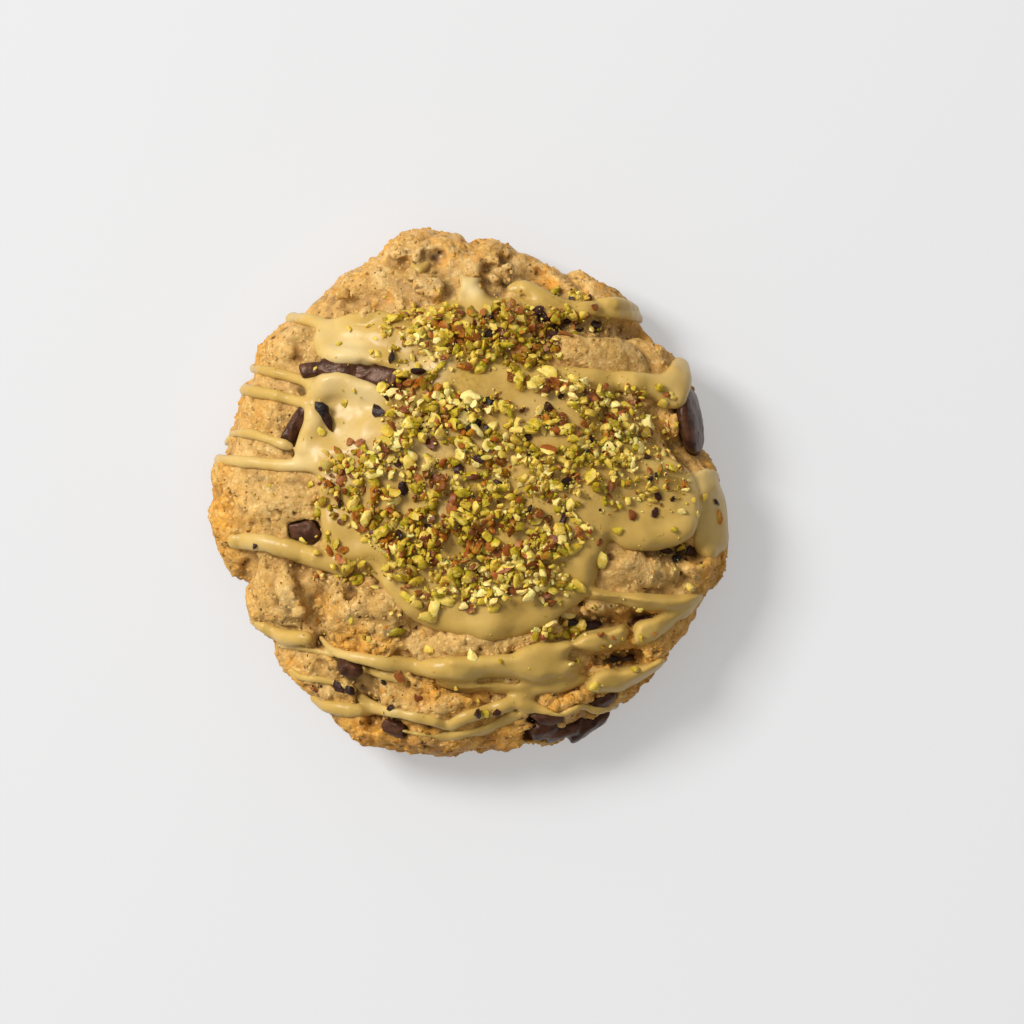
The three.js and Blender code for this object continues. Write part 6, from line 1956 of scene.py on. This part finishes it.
def skin_material():
    """Red-brown skin of the nut, stained dark, with some nut showing."""
    s, tint = Shader("skin"), tints(SKIN_COLOURS)
    colour = s.mix(s.attribute("tone"), tint["dark"], tint["light"])
    colour = s.mix(s.ramp(s.noise(0.9, 3), 0.45, 0.7, 0, 0.6), colour, tint["stain"])
    s.colour(s.mix(s.ramp(s.noise(1.3, 3), 0.56, 0.62, 0, 0.7), colour, tint["nut"]))
    s.bump(s.noise(0.5, 3), 0.12, 0.7)
    s.set(Roughness=0.45, Specular_IOR_Level=0.25)
    return s.material


def dark_material():
    # Black-brown bits; some lie in crevices as painted shade.
    s, tint = Shader("dark bits"), tints(DARK_COLOURS)
    s.colour(s.mix(s.attribute("tone"), tint["black"], tint["brown"]))
    s.bump(s.noise(0.6, 3), 0.25, 0.9)
    s.set(Roughness=0.38, Specular_IOR_Level=0.3)
    return s.material


# ---------------------------------------------------------------- stage, lights and camera, in metres

FLOOR_HALF = 6.0
FLOOR_GLOW = 0.345
# The sky is brighter towards the side that the light of the photograph comes from.
SKY = dict(towards=(-0.50, 0.42, 0.76), start=-0.1, dim=0.17, bright=0.73, colour=(1.0, 0.975, 0.93, 1))
KEY = dict(place=(-1.07, 0.67, 1.35), target=(0, 0, 0.015), energy=36, size=0.62, colour=(1.0, 0.985, 0.96))
CAMERA_DISTANCE = 1.6
FOCUS_HEIGHT = 0.012
SENSOR = 36


def make_floor():
    mesh = bpy.data.meshes.new("floor")
    half = FLOOR_HALF
    corners = [(-half, -half, 0), (half, -half, 0), (half, half, 0), (-half, half, 0)]
    mesh.from_pydata(corners, [], [(0, 1, 2, 3)])
    floor = bpy.data.objects.new("floor", mesh)
    bpy.context.collection.objects.link(floor)
    s, tint = Shader("floor"), tints(FLOOR_COLOURS)
    s.colour(s.mix(s.noise(400.0, 1), tint["deep"], tint["light"]))
    s.set(Roughness=0.8, Emission_Color=(1, 1, 1, 1), Emission_Strength=FLOOR_GLOW)
    mesh.materials.append(s.material)


def make_sky():
    world = bpy.data.worlds.new("studio")
    bpy.context.scene.world = world
    world.use_nodes = True
    tree = world.node_tree
    back = tree.nodes["Background"]
    back.inputs["Color"].default_value = SKY["colour"]
    way = tree.nodes.new("ShaderNodeTexCoord").outputs["Generated"]
    facing = tree.nodes.new("ShaderNodeVectorMath")
    facing.operation = "DOT_PRODUCT"
    facing.inputs[1].default_value = Vector(SKY["towards"]).normalized()
    tree.links.new(way, facing.inputs[0])
    level = tree.nodes.new("ShaderNodeMapRange")
    level.inputs["From Min"].default_value = SKY["start"]
    level.inputs["To Min"].default_value = SKY["dim"]
    level.inputs["To Max"].default_value = SKY["bright"]
    tree.links.new(facing.outputs["Value"], level.inputs["Value"])
    tree.links.new(level.outputs["Result"], back.inputs["Strength"])


def make_key_light():
    data = bpy.data.lights.new("key", "AREA")
    data.energy = KEY["energy"]
    data.size = KEY["size"]
    data.color = KEY["colour"]
    light = bpy.data.objects.new("key", data)
    light.location = KEY["place"]
    light.rotation_mode = "QUATERNION"
    light.rotation_quaternion = (Vector(KEY["target"]) - Vector(KEY["place"])).to_track_quat("-Z", "Y")
    bpy.context.collection.objects.link(light)


def make_camera():
    """Straight down, with the cookie left of and above the middle as in the photograph."""
    middle_x, middle_y = place((PHOTO_SIZE / 2, PHOTO_SIZE / 2))
    middle = Vector((middle_x * MM, middle_y * MM, FOCUS_HEIGHT)) + Vector(SHIFT * MM)
    data = bpy.data.cameras.new("camera")
    data.sensor_width = SENSOR
    data.lens = SENSOR * CAMERA_DISTANCE / (PHOTO_SIZE * MM_PER_PIXEL * MM)
    data.clip_start, data.clip_end = 0.05, 20
    camera = bpy.data.objects.new("camera", data)
    camera.location = middle + Vector((0, 0, CAMERA_DISTANCE))
    bpy.context.collection.objects.link(camera)
    bpy.context.scene.camera = camera


# ---------------------------------------------------------------- assembly

def frame_shift():
    """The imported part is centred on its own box. The upright disc shows by how far it moved."""
    low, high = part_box(EDGE_DISC["node"])
    x, y = place(EDGE_DISC["pixel"])
    middle = (low + high) / 2 / MM
    return np.array((middle.x - x, middle.y - y, 0))


def add_piece(piece, material, slot, *nodes):
    piece.data.materials.clear()
    piece.data.materials.append(material)
    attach(piece, "root")
    if nodes:
        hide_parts(*nodes)


SHIFT = frame_shift()
make_camera()
make_floor()
make_sky()
make_key_light()
bpy.context.scene.view_settings.view_transform = "Standard"

chocolates = chocolate_places()
pockets = [chocolate_pocket(*body) for _, bodies in chocolates for body in bodies]
crust, grains, soft_dough, dough_bed, dough_tops = make_dough(pockets)
cream, cream_tops = make_cream(soft_dough, dough_bed, dough_tops)
baked = dough_material()
add_piece(crust, baked, "dough", "cookie_dough")
add_piece(grains, baked, "dough")
add_piece(cream, cream_material(), "cream", "pistachio_cream")
brown = chocolate_material()
for piece, node in make_chocolate(chocolates):
    add_piece(piece, brown, "chocolate", node)
all_tops = np.maximum(resampled(cream_tops, CREAM_GRID, GRID), dough_tops)
for piece, material in make_crumbs(all_tops):
    add_piece(piece, material, "dough")
